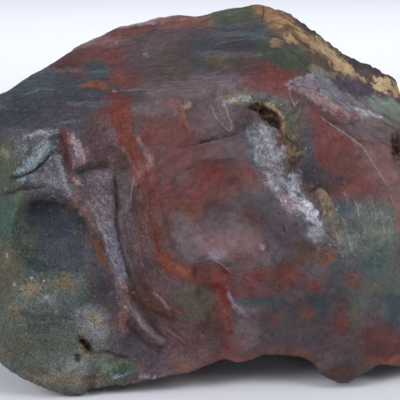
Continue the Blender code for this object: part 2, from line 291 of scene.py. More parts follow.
# Ledges: a line, the half width of the riser, how far the step reaches, and its height to the line's right
LEDGES = {
    "ridge_right": ([(113, 180), (116, 205), (116, 232), (121, 254), (128, 278), (135, 300)], 2.2, 26, -1.8),
    "ridge_left": ([(84, 168), (84, 196), (92, 222), (102, 246), (112, 272), (120, 300)], 9, 46, 2.2),
    "hollow_lip": ([(26, 204), (46, 206), (66, 208), (80, 216), (92, 238)], 5, 36, -1.4),
    "white_band": (
        [(247, 108), (262, 140), (272, 168), (286, 190), (303, 212), (318, 236), (345, 262)], 8, 70, -3.0
    ),
    "rough_patch": ([(22, 136), (60, 132), (66, 150), (72, 172)], 3, 40, -1.3),
    "inner_block": ([(60, 134), (68, 160), (72, 190)], 3, 24, -0.8),
    "low_block": ([(14, 188), (40, 186), (66, 196)], 3, 20, -0.7),
    "red_band": ([(220, 285), (226, 325), (232, 360)], 6, 26, -1.1),
    "shelf": ([(190, 272), (212, 267), (234, 281)], 3, 30, -0.9),
    "sparkling_corner": ([(288, 88), (308, 79), (324, 96), (352, 121)], 3, 30, -0.9),
    "red_wedge": ([(303, 101), (295, 110), (288, 86)], 2, 12, 0.6),
}
# Bulges: the middle, half sizes, turn and height
BULGES = {
    "green_bulge": ((58, 350), (78, 44), -8, 4.0),
    "lower_right_swell": ((345, 350), (50, 40), 0, 1.5),
    "pale_spot": ((188, 108), (5, 4), 0, 0.5),
    "fleck": ((264, 252), (3, 3.5), 0, 0.35),
}
# Pits with ragged rims, where the stone did not fill
PITS = {
    "vug": ((270, 120), (15, 7), 54, -3.2),
    "vug_mouth": ((257, 111), (9, 4.5), 8, -2.0),
    "small_pit": ((85, 351), (9, 3.4), 54, -2.2),
    "small_pit_start": ((80, 345), (4, 3), 0, -1.4),
    "small_pit_below": ((77, 364), (3.6, 2.6), 0, -1.2),
    "right_pit": ((396, 149), (6, 11), 0, -1.8),
}
RAGGED = 0.5
# Families of ripples: the line of the first, its spacing, reach and height
RIPPLES = {
    "dish_ripples": ([(128, 112), (140, 165), (148, 215), (160, 262), (185, 290), (215, 300)], 15, 34, 0.2),
    "ridge_ripples": ([(134, 190), (136, 225), (144, 262), (160, 292)], 8, 14, 0.08),
    "low_ripples": ([(150, 318), (172, 334), (196, 356)], 12, 26, 0.2),
    "flame_ripples": ([(128, 168), (140, 200), (146, 235), (157, 268)], 6, 14, 0.06),
    "red_facet_ripples": ([(306, 140), (330, 185), (372, 205)], 17, 30, 0.1),
}
# Where the stone is rough: the middle and half sizes, turn, height in millimetres
ROUGH = {
    "white_band_top": ((266, 146), (15, 24), -20, 0.42),
    "white_band_middle": ((276, 182), (13, 17), -25, 0.42),
    "white_band_low": ((304, 214), (26, 13), 50, 0.42),
    "white_band_end": ((331, 250), (18, 9), 35, 0.3),
    "left_block": ((42, 158), (30, 26), 0, 0.24),
    "left_block_low": ((58, 190), (24, 16), 0, 0.16),
    "pink_block": ((76, 160), (12, 22), 0, 0.25),
    "sparkling_corner": ((306, 88), (16, 11), 10, 0.18),
    "pink_shoulder": ((336, 112), (24, 8), 32, 0.1),
    "pale_sparkle": ((238, 102), (16, 7), 0, 0.3),
    "vug_rim": ((272, 116), (22, 17), 40, 0.35),
    "ochre_strip": ((330, 218), (8, 24), -12, 0.3),
    "ochre_knob": ((296, 150), (8, 12), 0, 0.35),
    "ridge_foot": ((124, 312), (8, 26), 0, 0.3),
    "ridge_face": ((104, 215), (12, 42), -14, 0.1),
    "mint_shoulder": ((365, 112), (34, 10), 26, 0.1),
    "centre_pink": ((232, 252), (34, 18), 0, 0.1),
    "green_right": ((362, 230), (34, 34), 0, 0.1),
    "right_pit": ((396, 150), (7, 14), 0, 0.4),
    "green_foot": ((60, 380), (70, 18), 6, 0.12),
    "base_edge": ((130, 384), (46, 8), 0, 0.3),
}
ROUGH_CELL, ROUGH_SEED = 1.7 * MM, 5
ROUGH_REACH, ROUGH_FADE = 1.25, 0.5
PIT_RIM = (0.55, 1.1)
# Marks stray a little from their lines, in pixels
STRAY = 1.8
STRAY_CELL = 5 * MM
STRAY_SEEDS = (11, 12)
BROAD_LUMPS = (20 * MM, 0.8 * MM)
SMALL_LUMPS = (6 * MM, 0.4 * MM)
FINE_LUMPS = (1.6 * MM, 0.14 * MM)
END_FADE = 0.16
# Which way a face looks, from 1 towards the eye to -1 away from it, where front marks and flake scars fade in
FACING_FRONT = (0.1, 0.45)
FACING_BACK = (-0.6, -0.1)
# Flake scars on the hidden sides, large and small: their size and depth, and how their rims bend
FLAKES = ((25 * MM, 2.4 * MM), (10 * MM, 0.8 * MM))
FLAKE_LEVEL = 0.25
BEND = 3 * MM
BEND_CELL = 12 * MM
BEND_SEEDS = (24, 25, 26)
RIND_CELL, RIND_SEED = 3.2 * MM, 6
RIND_HEIGHT = 0.75 * MM
RIND_LEVEL = 0.3
RIND_FRONT, RIND_BACK = (0.90, 0.965), (0.62, 0.85)
RIND_START = (14 * MM, 22 * MM)
STRIPED_FACING = (0.8, 0.93)
STRIPED_END = (-14 * MM, -4 * MM)
SCRATCH_HEIGHT = 0.16 * MM
SCRATCH_CELL, SCRATCH_SEED = 1.5 * MM, 7
SCRATCH_STRETCH = (0.12, 1, 1)


def line_distance(seen, line):
    """Distance to a line through a few points, distance to its right, and a share that fades at its ends."""
    line = np.array(line, float)
    runs = np.diff(line, axis=0)
    lengths = np.linalg.norm(runs, axis=1)
    before = np.concatenate([[0], np.cumsum(lengths)[:-1]]) / lengths.sum()
    nearest = np.full(len(seen), np.inf)
    to_right = np.zeros(len(seen))
    along_all = np.zeros(len(seen))
    for start, run, length, passed in zip(line[:-1], runs, lengths, before):
        along = np.clip((seen - start) @ run / length**2, 0, 1)
        distance = np.linalg.norm(seen - start - along[:, None] * run, axis=1)
        turn = run[0] * (seen[:, 1] - start[1]) - run[1] * (seen[:, 0] - start[0])
        closer = distance < nearest
        nearest[closer] = distance[closer]
        to_right[closer] = (np.sign(turn) * distance)[closer]
        along_all[closer] = (passed + along * length / lengths.sum())[closer]
    fade = ease(along_all, 0, END_FADE) * ease(1 - along_all, 0, END_FADE)
    return nearest, to_right, fade


def patch_reach(seen, middle, halves, turn):
    """0 in the middle of a turned ellipse, 1 on its rim, and more outside."""
    turn = math.radians(turn)
    off = seen - middle
    long_way = (off[:, 0] * math.cos(turn) + off[:, 1] * math.sin(turn)) / halves[0]
    short_way = (off[:, 1] * math.cos(turn) - off[:, 0] * math.sin(turn)) / halves[1]
    return np.sqrt(long_way**2 + short_way**2)


def rough_height(seen):
    """How high the sugary quartz stands at each point, in millimetres."""
    rough = np.zeros(len(seen))
    for middle, halves, turn, rise in ROUGH.values():
        inside = ease(ROUGH_REACH - patch_reach(seen, middle, halves, turn), 0, ROUGH_FADE)
        rough = np.maximum(rough, rise * inside)
    return rough


def flake_scars(points, cell):
    """Low in the middle of each shallow dish, and high on the sharp rims between them."""
    return np.array([noise.voronoi(Vector(p) / cell)[0][0] for p in points]) ** 2


def rind_share(points, normals):
    """The weathered rind lies along the upper right edge, and runs on over the back."""
    front_edge = ease(normals @ np.array(FRACTURES["rind"][1]), *RIND_FRONT)
    over_back = ease(normals @ np.array(FRACTURES["top_right_back"][1]), *RIND_BACK)
    return np.maximum(front_edge, over_back) * ease(points[:, 0], *RIND_START)


def striped_share(points, normals):
    """The top was scraped along its length when it broke."""
    upward = ease(normals @ np.array(FRACTURES["striped_top"][1]), *STRIPED_FACING)
    return upward * ease(-points[:, 1], *STRIPED_END) * (1 - rind_share(points, normals))


points, normals = points_of(form), normals_of(form)
straight, _ = seen_at(points)
stray = np.stack([lumps(points, STRAY_CELL, seed, 2) for seed in STRAY_SEEDS], axis=1)
seen = straight + STRAY * stray
facing = ease(normals @ TOWARDS_EYE, *FACING_FRONT)

height = np.zeros(len(points))
for line, half_width, rise in RIDGES.values():
    distance, _, _ = line_distance(seen, line)
    height += rise * np.exp(-((distance / half_width) ** 2))
for line, half_riser, fade, rise in LEDGES.values():
    distance, to_right, ends = line_distance(seen, line)
    height += rise * ends * ease(to_right, -half_riser, half_riser) * np.exp(-((distance / fade) ** 2))
for middle, halves, turn, rise in BULGES.values():
    height += rise * np.exp(-(patch_reach(seen, middle, halves, turn) ** 2))
for line, spacing, reach, rise in RIPPLES.values():
    distance, to_right, ends = line_distance(seen, line)
    waves = np.sin(to_right * 2 * math.pi / spacing) * np.exp(-((distance / reach) ** 2))
    height += rise * ends * waves
crumble = lumps(points, ROUGH_CELL, ROUGH_SEED, 2)
for middle, halves, turn, rise in PITS.values():
    reach = patch_reach(seen, middle, halves, turn) + RAGGED * crumble
    height += rise * (1 - ease(reach, *PIT_RIM))
height += rough_height(seen) * (1 - 2 * np.abs(crumble))
height *= MM * facing
crags = np.abs(lumps(points, RIND_CELL, RIND_SEED, 4))
height += rind_share(points, normals) * RIND_HEIGHT * (crags - RIND_LEVEL)
scratches = lumps(points * SCRATCH_STRETCH, SCRATCH_CELL, SCRATCH_SEED, 3)
height += striped_share(points, normals) * SCRATCH_HEIGHT * scratches
hidden = 1 - ease(normals @ TOWARDS_EYE, *FACING_BACK)
bent = points + BEND * np.stack([lumps(points, BEND_CELL, seed, 2) for seed in BEND_SEEDS], axis=1)
for cell, rise in FLAKES:
    height += hidden * rise * (flake_scars(bent, cell) - FLAKE_LEVEL)
for seed, (cell, rise) in enumerate((BROAD_LUMPS, SMALL_LUMPS, FINE_LUMPS), start=1):
    height += rise * lumps(points, cell, seed, 2)
points = points + normals * height[:, None]

# The finer skin keeps most of its points on the front, where the marks are small
FRONT_SHARE = 0.62
FRONT_TO_BACK = (-0.35, 0.25)
SKIN_TRIANGLES = 194000
move_points(form, points)
behind = 1 - ease(normals @ TOWARDS_EYE, *FRONT_TO_BACK)
weights = np.round(FRONT_SHARE + (1 - FRONT_SHARE) * behind, 1)
kept = SKIN_TRIANGLES / (2 * len(form.polygons))
form = with_modifiers(form, [("DECIMATE", {
    "ratio": kept, "vertex_group": "share", "vertex_group_factor": 1.0,
})], weights)

stone = bmesh.new()
stone.from_mesh(form)
whole = stone.verts[:] + stone.edges[:] + stone.faces[:]
foot = points_of(form)[:, 2].min() + BASE_CUT
cut = bmesh.ops.bisect_plane(
    stone, geom=whole, plane_co=(0, 0, foot), plane_no=(0, 0, 1), clear_inner=True
)
rim = [e for e in cut["geom_cut"] if isinstance(e, bmesh.types.BMEdge)]
bmesh.ops.holes_fill(stone, edges=rim)
bmesh.ops.triangulate(stone, faces=stone.faces[:])
stone.to_mesh(form)
stone.free()

# The jasper's colours
# Chalcedony stained by iron: green and slate where the iron is reduced, brick and orange where it has
# rusted, white where quartz fills a seam, and a tan weathered rind outside.

# Red, green and blue of each stain as it looks in soft light
STONE_COLOURS = {
    "slate": (70, 74, 84),
    "slate_blue": (64, 72, 82),
    "dark_slate": (54, 57, 65),
    "teal": (72, 84, 90),
    "deep_teal": (54, 68, 70),
    "sea_green": (62, 82, 76),
    "moss": (104, 118, 96),
    "moss_shade": (82, 90, 74),
    "green_grey": (92, 98, 92),
    "pale_green": (106, 112, 106),
    "mint": (130, 142, 134),
    "lens_green": (68, 76, 64),
    "olive": (90, 84, 68),
    "ochre": (118, 102, 76),
    "olive_cream": (134, 124, 102),
    "gold": (174, 148, 114),
    "pale_gold": (196, 174, 140),
    "tan": (160, 124, 98),
    "crust": (92, 78, 70),
    "dark_crust": (66, 58, 62),
    "purple_crust": (74, 68, 82),
    "brick": (102, 64, 61),
    "red": (108, 65, 63),
    "bright_red": (112, 57, 53),
    "vermilion": (112, 56, 46),
    "orange": (124, 76, 58),
    "rust": (106, 68, 50),
    "deep_red": (98, 46, 42),
    "crimson": (90, 55, 58),
    "dark_red": (80, 42, 39),
    "wine": (84, 60, 64),
    "salmon": (128, 94, 90),
    "pink": (124, 98, 100),
    "pale_pink": (152, 132, 138),
    "hot_pink": (166, 140, 136),
    "mauve": (88, 74, 77),
    "red_mauve": (96, 72, 73),
    "pale_mauve": (110, 97, 102),
    "lilac": (124, 112, 126),
    "blue_lilac": (124, 124, 142),
    "purple": (74, 65, 74),
    "groove": (58, 46, 50),
    "brown": (78, 54, 46),
    "dark_brown": (54, 41, 35),
    "red_brown": (92, 64, 58),
    "pit": (44, 33, 27),
    "quartz": (168, 168, 175),
    "bright_quartz": (194, 196, 208),
    "grey_quartz": (136, 136, 142),
    "teal_quartz": (130, 144, 150),
}
# Each stain on the front, and each painted highlight and painted shade among them: its colour, then a middle,
# half sizes and turn or else a line and its half width, then its share. Later stains lie over earlier ones.
FRONT_STAINS_AND_PAINTED_LIGHT = {
    # the ground colours of each area
    "left_field": ("green_grey", (46, 310), (84, 112), 0, 1),
    "left_field_mauve": ("purple", (112, 300), (18, 56), -12, 0.7),
    "middle_field": ("mauve", (206, 180), (84, 110), -14, 1),
    "middle_foot": ("wine", (230, 330), (110, 46), 0, 1),
    "right_field": ("red_mauve", (340, 160), (70, 62), 30, 1),
    "right_foot": ("green_grey", (384, 260), (46, 84), 0, 1),
    # the scraped top, left to right
    "top_slate": ("slate", (46, 106), (76, 36), -14, 1),
    "top_slate_deep": ("dark_slate", (40, 112), (56, 18), -8, 0.6),
    "top_purple": ("purple", (78, 118), (34, 14), 0, 0.7),
    "top_teal": ("teal", (28, 92), (30, 12), -26, 0.7),
    "upper_slate": ("slate_blue", (96, 71), (18, 11), 0, 0.9),
    "pink_edge": ("salmon", [(50, 60), (68, 50), (84, 43), (106, 36)], 7, 1),
    "pink_edge_light": ("pale_pink", [(60, 54), (76, 47), (92, 42)], 2.4, 0.5),
    "edge_glint": ("ochre", [(70, 50), (78, 46)], 2.5, 0.8),
    "brick_edge": ("brick", [(60, 67), (76, 60), (92, 55), (112, 56)], 6.5, 0.95),
    "brick_drop": ("red", (76, 70), (10, 9), 0, 0.8),
    "pink_grey_top": ("pink", (112, 42), (15, 7), -10, 0.8),
    "red_knot": ("red", (114, 58), (13, 9), 20, 0.95),
    "red_lobe": ("red", (126, 79), (18, 12), 0, 1),
    "orange_thread": ("orange", [(82, 88), (97, 86), (109, 91), (118, 99)], 3.2, 0.95),
    "purple_thread": ("purple", [(110, 90), (122, 94), (134, 96)], 4, 0.8),
    "strong_brick": ("bright_red", (118, 112), (17, 15), 15, 1),
    "brown_left_of_brick": ("red_brown", (97, 127), (10, 9), 0, 0.7),
    "purple_below_brick": ("pale_mauve", (107, 140), (10, 17), 0, 0.6),
    "central_brown": ("mauve", (176, 56), (46, 30), 0, 0.9),
    "central_olive": ("olive", (176, 64), (24, 13), 0, 0.35),
    "central_purple": ("pale_mauve", (152, 48), (16, 8), -10, 0.5),
    "pale_shelf": ("pale_mauve", (178, 91), (40, 9), -4, 0.9),
    "mauve_shelf": ("pale_mauve", (206, 86), (20, 12), 0, 0.5),
    # painted highlight along the top edge
    "rim_highlight": ("pale_pink", [(118, 28), (140, 25), (158, 20), (174, 17)], 2.8, 1),
    "rim_red": ("red", [(110, 34), (130, 33), (148, 30)], 4, 0.8),
    "salmon_top": ("salmon", [(162, 22), (185, 21), (208, 22)], 6.5, 1),
    "salmon_top_red": ("red", [(166, 24), (186, 25), (206, 26)], 3, 0.5),
    "slate_green_top": ("slate", (204, 54), (15, 20), 0, 0.8),
    "moss_top": ("moss_shade", (240, 14), (27, 11), -10, 1),
    "moss_top_bright": ("moss", (232, 13), (10, 4), 0, 0.35),
    "slate_top": ("slate_blue", (240, 38), (30, 13), 0, 1),
    "slate_top_red": ("red_mauve", (228, 39), (9, 4), 0, 0.6),
    "teal_top": ("teal", (262, 38), (9, 13), 0, 0.9),
    "green_under_crust": ("moss_shade", (268, 30), (8, 12), 0, 0.5),
    "olive_top": ("olive", (226, 62), (22, 8), 0, 0.9),
    "ochre_top": ("ochre", (221, 63), (8, 5), 0, 0.8),
    "mauve_under_olive": ("pale_mauve", (222, 83), (28, 12), 0, 0.8),
    "big_red": ("red", (274, 79), (34, 18), 12, 1),
    "big_red_bright": ("bright_red", (272, 72), (15, 10), 0, 0.6),
    "lens_green": ("lens_green", (283, 59), (32, 10), 20, 1),
    "lens_light": ("moss_shade", (296, 54), (15, 5), 12, 0.8),
    # the rind
    "rind_tan": ("tan", [(264, 8), (282, 22), (298, 31), (312, 42)], 10, 1),
    "rind_tan_glint": ("gold", [(280, 20), (294, 28), (306, 36)], 3.5, 0.6),
    "rind_knob": ("gold", (294, 38), (9, 6), -10, 0.9),
    "rind_knob_small": ("gold", (276, 45), (7, 4), 0, 0.6),
    "rind_shade": ("dark_crust", [(284, 30), (291, 29), (300, 42), (312, 50)], 2.6, 0.7),
    "rind_edge": ("dark_crust", [(300, 22), (318, 37), (340, 55), (360, 65), (380, 73), (402, 84)], 5, 0.85),
    "rind_gold": ("gold", [(316, 44), (328, 54), (339, 64), (350, 78), (358, 85)], 7, 1),
    "rind_gold_bright": ("pale_gold", [(320, 47), (332, 57), (344, 69), (352, 80)], 3.4, 0.9),
    "rind_brown": ("crust", (318, 60), (11, 6), 10, 0.9),
    "rind_purple": ("purple_crust", (356, 92), (26, 10), 32, 0.95),
    "rind_purple_low": ("purple_crust", (334, 82), (16, 4), 34, 0.6),
    "rind_gold_low": ("pale_gold", (383, 87), (10, 8), 0, 1),
    "rind_gold_end": ("gold", (396, 93), (9, 5), 20, 0.9),
    "pale_green_step": ("olive_cream", [(312, 70), (322, 74), (333, 77)], 3.2, 0.9),
    "mint_end": ("mint", (386, 109), (20, 8), 18, 0.95),
    "mint_end_low": ("pale_green", (392, 123), (14, 11), 0, 0.9),
    "grey_shoulder": ("grey_quartz", [(316, 80), (336, 97), (354, 110), (374, 119)], 7, 0.85),
    "grey_shoulder_glint": ("bright_quartz", [(358, 110), (368, 115), (378, 119)], 2.4, 0.7),
    # the upper right
    "sparkling_patch": ("pale_pink", (306, 88), (16, 9), 12, 0.85),
    "sparkling_patch_light": ("grey_quartz", [(290, 87), (304, 82), (314, 80)], 3, 0.7),
    "sparkling_patch_lilac": ("blue_lilac", [(314, 84), (330, 98), (348, 108)], 5, 0.6),
    "sparkling_tip": ("quartz", (312, 78), (4, 4), 0, 0.6),
    "pink_band": ("pale_pink", [(312, 96), (330, 108), (346, 119), (356, 123)], 6.5, 0.95),
    "pink_band_light": ("hot_pink", [(318, 98), (332, 107), (348, 119)], 2.4, 0.6),
    "pink_band_shade": ("purple", [(334, 124), (348, 126), (362, 122)], 2, 0.6),
    "wedge": ("crimson", (294, 98), (5.5, 11), -8, 0.9),
    "facet_red": ("brick", (346, 160), (50, 42), 30, 1),
    "facet_red_bright": ("bright_red", (320, 160), (12, 12), 0, 0.8),
    "facet_red_low": ("red", (350, 182), (30, 16), 10, 0.8),
    "facet_brown": ("red_brown", (356, 168), (20, 12), 20, 0.5),
    "facet_slate": ("slate", (305, 152), (9, 30), -6, 0.85),
    "facet_mauve": ("pink", (380, 158), (20, 30), -24, 0.6),
    "facet_mauve_red": ("salmon", (386, 172), (14, 22), -20, 0.5),
    "facet_purple": ("pale_mauve", (366, 134), (26, 9), 12, 0.9),
    "arris_red": ("bright_red", [(312, 116), (330, 133), (350, 147)], 3, 0.5),
    "right_pit": ("dark_brown", (396, 150), (6, 11), 0, 0.85),
    # the pit, and the seam of white quartz below it
    "vug_ground": ("green_grey", (264, 103), (26, 7), 6, 0.9),
    "vug_ground_right": ("olive", (291, 128), (12, 22), 0, 0.9),
    "vug_ground_green": ("green_grey", (293, 118), (9, 11), 0, 0.6),
    "pale_sparkle": ("olive_cream", (236, 101), (15, 6), -6, 0.9),
    "pale_sparkle_core": ("quartz", [(226, 106), (236, 100), (248, 101)], 2.2, 0.6),
    "fan_ground": ("pale_mauve", (224, 122), (16, 16), 0, 0.6),
    "under_pit": ("crust", (254, 126), (10, 8), 0, 0.6),
    "vug_shadow": ("brown", (270, 120), (17, 9), 54, 0.9),
    "vug_rim": ("gold", [(262, 106), (272, 108), (280, 116), (285, 126), (284, 136)], 1.8, 0.6),
    "vug_tail": ("rust", [(278, 137), (284, 147), (291, 151)], 3, 0.9),
    "ochre_knob": ("ochre", (297, 156), (7, 4.5), 10, 0.95),
    "ochre_shade": ("brown", [(300, 160), (294, 168), (291, 176)], 2.6, 0.8),
    "band_slate": ("slate", [(249, 130), (253, 150), (261, 178)], 7, 0.6),
    "band_grey": ("grey_quartz", (259, 158), (8, 17), -10, 0.8),
    "band_grey_low": ("dark_slate", [(285, 172), (288, 184), (290, 196)], 3, 0.7),
    "band_left_slate": ("slate", [(246, 132), (249, 150), (256, 168), (264, 180)], 4, 0.6),
    "band_gap_olive": ("olive", [(286, 138), (289, 150), (286, 166), (285, 182)], 2.2, 0.75),
    "band_gap_dark": ("dark_brown", [(288, 168), (286, 178), (286, 188)], 1.2, 0.6),
    "band_gap_shade": ("dark_slate", [(262, 160), (270, 167), (280, 170)], 1.4, 0.55),
    "band_gap_low": ("dark_slate", [(290, 200), (297, 206), (300, 214)], 1.4, 0.55),
    "band_lilac": ("blue_lilac", [(272, 178), (278, 190), (286, 200)], 4, 0.5),
    "band_lilac_low": ("blue_lilac", [(302, 214), (309, 226), (315, 238)], 4, 0.45),
    "band_ground": ("grey_quartz", [(262, 134), (268, 160), (276, 184), (296, 206), (316, 238)], 11, 0.8),
    "band_white_top": ("quartz", (264, 141), (10, 13), -20, 0.6),
    "band_white_knob": ("quartz", (275, 158), (10, 9), 0, 0.7),
    "band_white_middle": ("quartz", (275, 184), (9, 13), -14, 0.8),
    "band_white_low": ("bright_quartz", (293, 190), (6, 14), 16, 0.8),
    "band_white_foot": ("bright_quartz", (306, 214), (19, 7), 48, 0.9),
    "band_white_rose": ("pale_pink", (288, 205), (14, 6), 40, 0.7),
    "band_white_end": ("quartz", (316, 238), (9, 7), 30, 0.9),
    "band_tail": ("grey_quartz", (333, 252), (16, 5), 24, 0.7),
    "slate_right_of_band": ("dark_slate", (320, 183), (24, 11), 0, 0.7),
    "ochre_strip": ("olive_cream", [(322, 198), (329, 208), (334, 224), (337, 240)], 5, 0.7),
    "ochre_strip_shade": ("dark_brown", [(312, 196), (320, 192), (328, 196)], 2, 0.6),
    "ochre_strip_side": ("slate", [(338, 204), (343, 220), (345, 236)], 4, 0.6),
    "ochre_strip_brown": ("ochre", [(326, 214), (333, 228), (336, 236)], 2.4, 0.7),
    # the right
    "right_green": ("pale_green", (366, 236), (34, 30), 10, 0.8),
    "right_teal": ("teal", (345, 213), (8, 6), 0, 0.9),
    "right_slate": ("slate_blue", (352, 268), (22, 12), 20, 0.5),
    "right_slate_low": ("slate", (372, 290), (24, 24), 0, 0.7),
    "right_green_low": ("green_grey", (392, 276), (14, 26), 0, 0.7),
    "right_end_slate": ("slate", (392, 322), (14, 24), 0, 0.8),
    "right_end_salmon": ("salmon", [(392, 198), (398, 212), (402, 234)], 6, 0.8),
    "right_end_mauve": ("mauve", (399, 262), (6, 12), 0, 0.6),
    "right_red_top": ("red_mauve", (366, 204), (26, 5), 0, 0.6),
    # the middle
    "middle_red_top": ("brick", (168, 132), (34, 16), 0, 0.9),
    "middle_red_top_hot": ("bright_red", (149, 145), (11, 8), 20, 0.6),
    "middle_red_top_dark": ("crimson", (180, 152), (20, 9), 0, 0.5),
    "grey_knot": ("pale_mauve", (148, 110), (18, 8), 0, 0.9),
    "orange_top": ("salmon", (172, 104), (15, 5), 0, 0.7),
    "pale_spot": ("hot_pink", (187, 108), (4, 3.4), 0, 0.7),
    "orange_ripple": ("orange", [(179, 108), (185, 124), (191, 136)], 2, 0.7),
    "orange_ripple_beside": ("salmon", [(172, 106), (176, 118)], 2, 0.5),
    "mauve_rise": ("mauve", (212, 126), (22, 18), 0, 0.8),
    "middle_mauve": ("brick", (178, 172), (34, 30), 0, 0.6),
    "middle_green_grey": ("green_grey", (181, 180), (9, 7), 0, 0.45),
    "middle_red": ("brick", (222, 184), (42, 16), -6, 0.8),
    "middle_red_core": ("bright_red", (212, 174), (14, 10), 0, 0.7),
    "middle_red_left": ("bright_red", (196, 206), (22, 14), -30, 0.6),
    "middle_red_right": ("red_brown", (254, 222), (14, 14), 0, 0.6),
    "middle_slate": ("slate", (262, 206), (24, 12), 30, 0.5),
    "middle_purple": ("purple", (284, 236), (26, 16), 0, 0.75),
    "middle_grey": ("pale_mauve", (228, 232), (24, 16), 0, 0.7),
    "middle_light": ("pink", (222, 250), (24, 12), 0, 0.7),
    "middle_pale": ("lilac", (216, 261), (9, 7), 0, 0.7),
    "middle_rose": ("pink", (248, 247), (14, 12), 20, 0.7),
    "middle_rose_red": ("red", (242, 262), (10, 7), 0, 0.5),
    "middle_rose_low": ("pink", (262, 264), (8, 6), 30, 0.4),
    "fleck": ("hot_pink", (264, 252), (2.6, 3), 0, 0.9),
    "olive_smudge": ("olive", (256, 196), (10, 7), 0, 0.3),
    "brown_right": ("brown", (312, 256), (22, 12), 10, 0.7),
    "orange_dot": ("rust", (300, 264), (5, 4), 0, 0.9),
    "orange_right": ("rust", (328, 264), (9, 5), -40, 0.9),
    # the orange arc that sweeps round the dish, and the red shelf at its foot
    "arc_rise": ("rust", [(138, 182), (145, 206), (150, 236)], 6, 0.75),
    "arc_rise_glow": ("salmon", [(140, 196), (144, 214), (149, 228)], 2.6, 0.4),
    "arc": ("red_brown", [(148, 210), (152, 236), (160, 258), (172, 272), (186, 280), (204, 282)], 8, 0.9),
    "arc_thread": ("vermilion", [(147, 220), (152, 240), (160, 258), (170, 270)], 2.4, 0.8),
    "arc_low": ("vermilion", [(162, 262), (176, 274), (198, 281)], 8, 0.9),
    "arc_bright": ("orange", [(164, 264), (178, 276), (192, 281)], 4, 0.7),
    "arc_inner": ("rust", (178, 228), (19, 22), 10, 0.75),
    "arc_eye": ("pale_mauve", (179, 229), (11, 13), 0, 0.85),
    "arc_salmon": ("salmon", (170, 214), (7, 10), 10, 0.5),
    "arc_mauve": ("pale_mauve", (184, 250), (12, 18), -20, 0.7),
    "arc_mauve_beside": ("lilac", (196, 240), (5, 12), -10, 0.4),
    "beside_arc_red": ("brick", (162, 204), (14, 16), 0, 0.7),
    "shelf_red": ("dark_red", (212, 284), (19, 14), 20, 1),
    "shelf_red_hot": ("bright_red", (218, 290), (9, 9), 30, 0.5),
    "column": ("deep_red", [(221, 288), (225, 312), (228, 334), (229, 352)], 8, 1),
    "column_bright": ("vermilion", [(224, 300), (226, 318), (227, 336)], 2.4, 0.5),
    # painted highlight along the column's right edge
    "column_edge_highlight": ("lilac", [(228, 300), (234, 313), (246, 323)], 2, 0.8),
    "beside_column": ("brown", (207, 322), (12, 28), 0, 1),
    "beside_column_dark": ("dark_brown", [(206, 316), (209, 332)], 2.2, 0.7),
    "beside_column_grey": ("moss_shade", (190, 308), (20, 18), -6, 0.5),
    "beside_column_fold": ("dark_brown", [(172, 330), (190, 335), (206, 334)], 2.6, 0.5),
    "grey_right_of_column": ("lilac", (248, 313), (14, 6), 10, 0.7),
    "grey_beside": ("slate", (272, 304), (14, 6), 0, 0.6),
    "rose_right_of_shelf": ("red", (254, 281), (17, 9), 0, 0.8),
    "rose_low": ("brick", (256, 294), (16, 6), 0, 0.6),
    "grey_gap": ("slate", (277, 268), (5, 12), 10, 0.5),
    "low_red": ("dark_red", (284, 284), (19, 15), 0, 1),
    "low_red_right": ("crimson", (309, 291), (16, 8), 20, 0.9),
    "low_slate": ("slate", (319, 309), (8, 11), 0, 0.7),
    "low_orange": ("rust", (308, 316), (8, 8), 20, 0.8),
    "low_orange_top": ("red", (292, 304), (7, 5), 0, 0.6),
    "low_mauve": ("purple", (290, 330), (46, 34), 0, 0.75),
    "low_green": ("olive", (292, 334), (20, 12), 0, 0.25),
    "low_wine": ("wine", (322, 340), (16, 16), 0, 0.6),
    "low_dark_line": ("red_brown", [(268, 318), (274, 326)], 3, 0.6),
    "low_lilac": ("pale_mauve", (246, 338), (13, 14), 0, 0.6),
    "low_lilac_red": ("red", (243, 346), (6, 8), 0, 0.4),
    "low_edge": ("red_brown", [(216, 366), (240, 370), (262, 360), (290, 358), (316, 370)], 4, 0.8),
    "low_edge_red": ("red", [(222, 364), (244, 369)], 3, 0.6),
    "low_edge_ochre": ("rust", [(296, 356), (310, 362)], 4, 0.5),
    "slate_lobe": ("dark_slate", (339, 288), (11, 17), 0, 0.7),
    "brown_lobe": ("red_brown", (356, 288), (7, 10), 0, 0.7),
    "red_lobe_low": ("crimson", (341, 331), (10, 14), 0, 0.9),
    "red_lobe_top": ("dark_red", (344, 310), (8, 8), 0, 0.5),
    "olive_lobe": ("olive", (357, 321), (7, 10), 0, 0.7),
    "crimson_end": ("crimson", (382, 350), (26, 20), 12, 1),
    "crimson_end_top": ("wine", (372, 326), (10, 12), 0, 0.6),
    "crimson_end_rose": ("red", (392, 346), (12, 7), 20, 0.5),
    "orange_end": ("orange", [(366, 368), (384, 371), (402, 364)], 3.6, 0.9),
    "low_red_bright": ("bright_red", (287, 282), (12, 9), -30, 0.85),
    "low_red_left": ("deep_red", (255, 281), (13, 7), 0, 0.7),
    "low_red_band": ("red", [(240, 297), (256, 299), (272, 300)], 4, 0.65),
    "low_red_spot": ("bright_red", (313, 294), (8, 5), 10, 0.85),
    "low_slate_streak": ("slate_blue", [(240, 309), (260, 309), (282, 305)], 4, 0.7),
    "low_slate_tall": ("slate_blue", (320, 311), (6, 13), 0, 0.8),
    "low_slate_small": ("slate", (312, 345), (6, 8), 0, 0.6),
    "low_rust_spot": ("orange", (307, 319), (8, 4), 10, 0.7),
    "low_crimson": ("red", (274, 326), (7, 5), 0, 0.7),
    "low_crimson_right": ("bright_red", (340, 331), (7, 10), 10, 0.8),
    "low_brown_top": ("red_brown", (350, 284), (7, 12), 0, 0.6),
    "green_sea": ("sea_green", (374, 264), (12, 17), 0, 0.6),
    "green_slate": ("slate", (354, 228), (12, 6), 10, 0.6),
    "green_olive": ("olive", (372, 292), (13, 11), 0, 0.5),
    "green_moss": ("moss_shade", (366, 247), (9, 8), 0, 0.5),
    "green_light": ("pale_green", (386, 234), (9, 7), 0, 0.5),
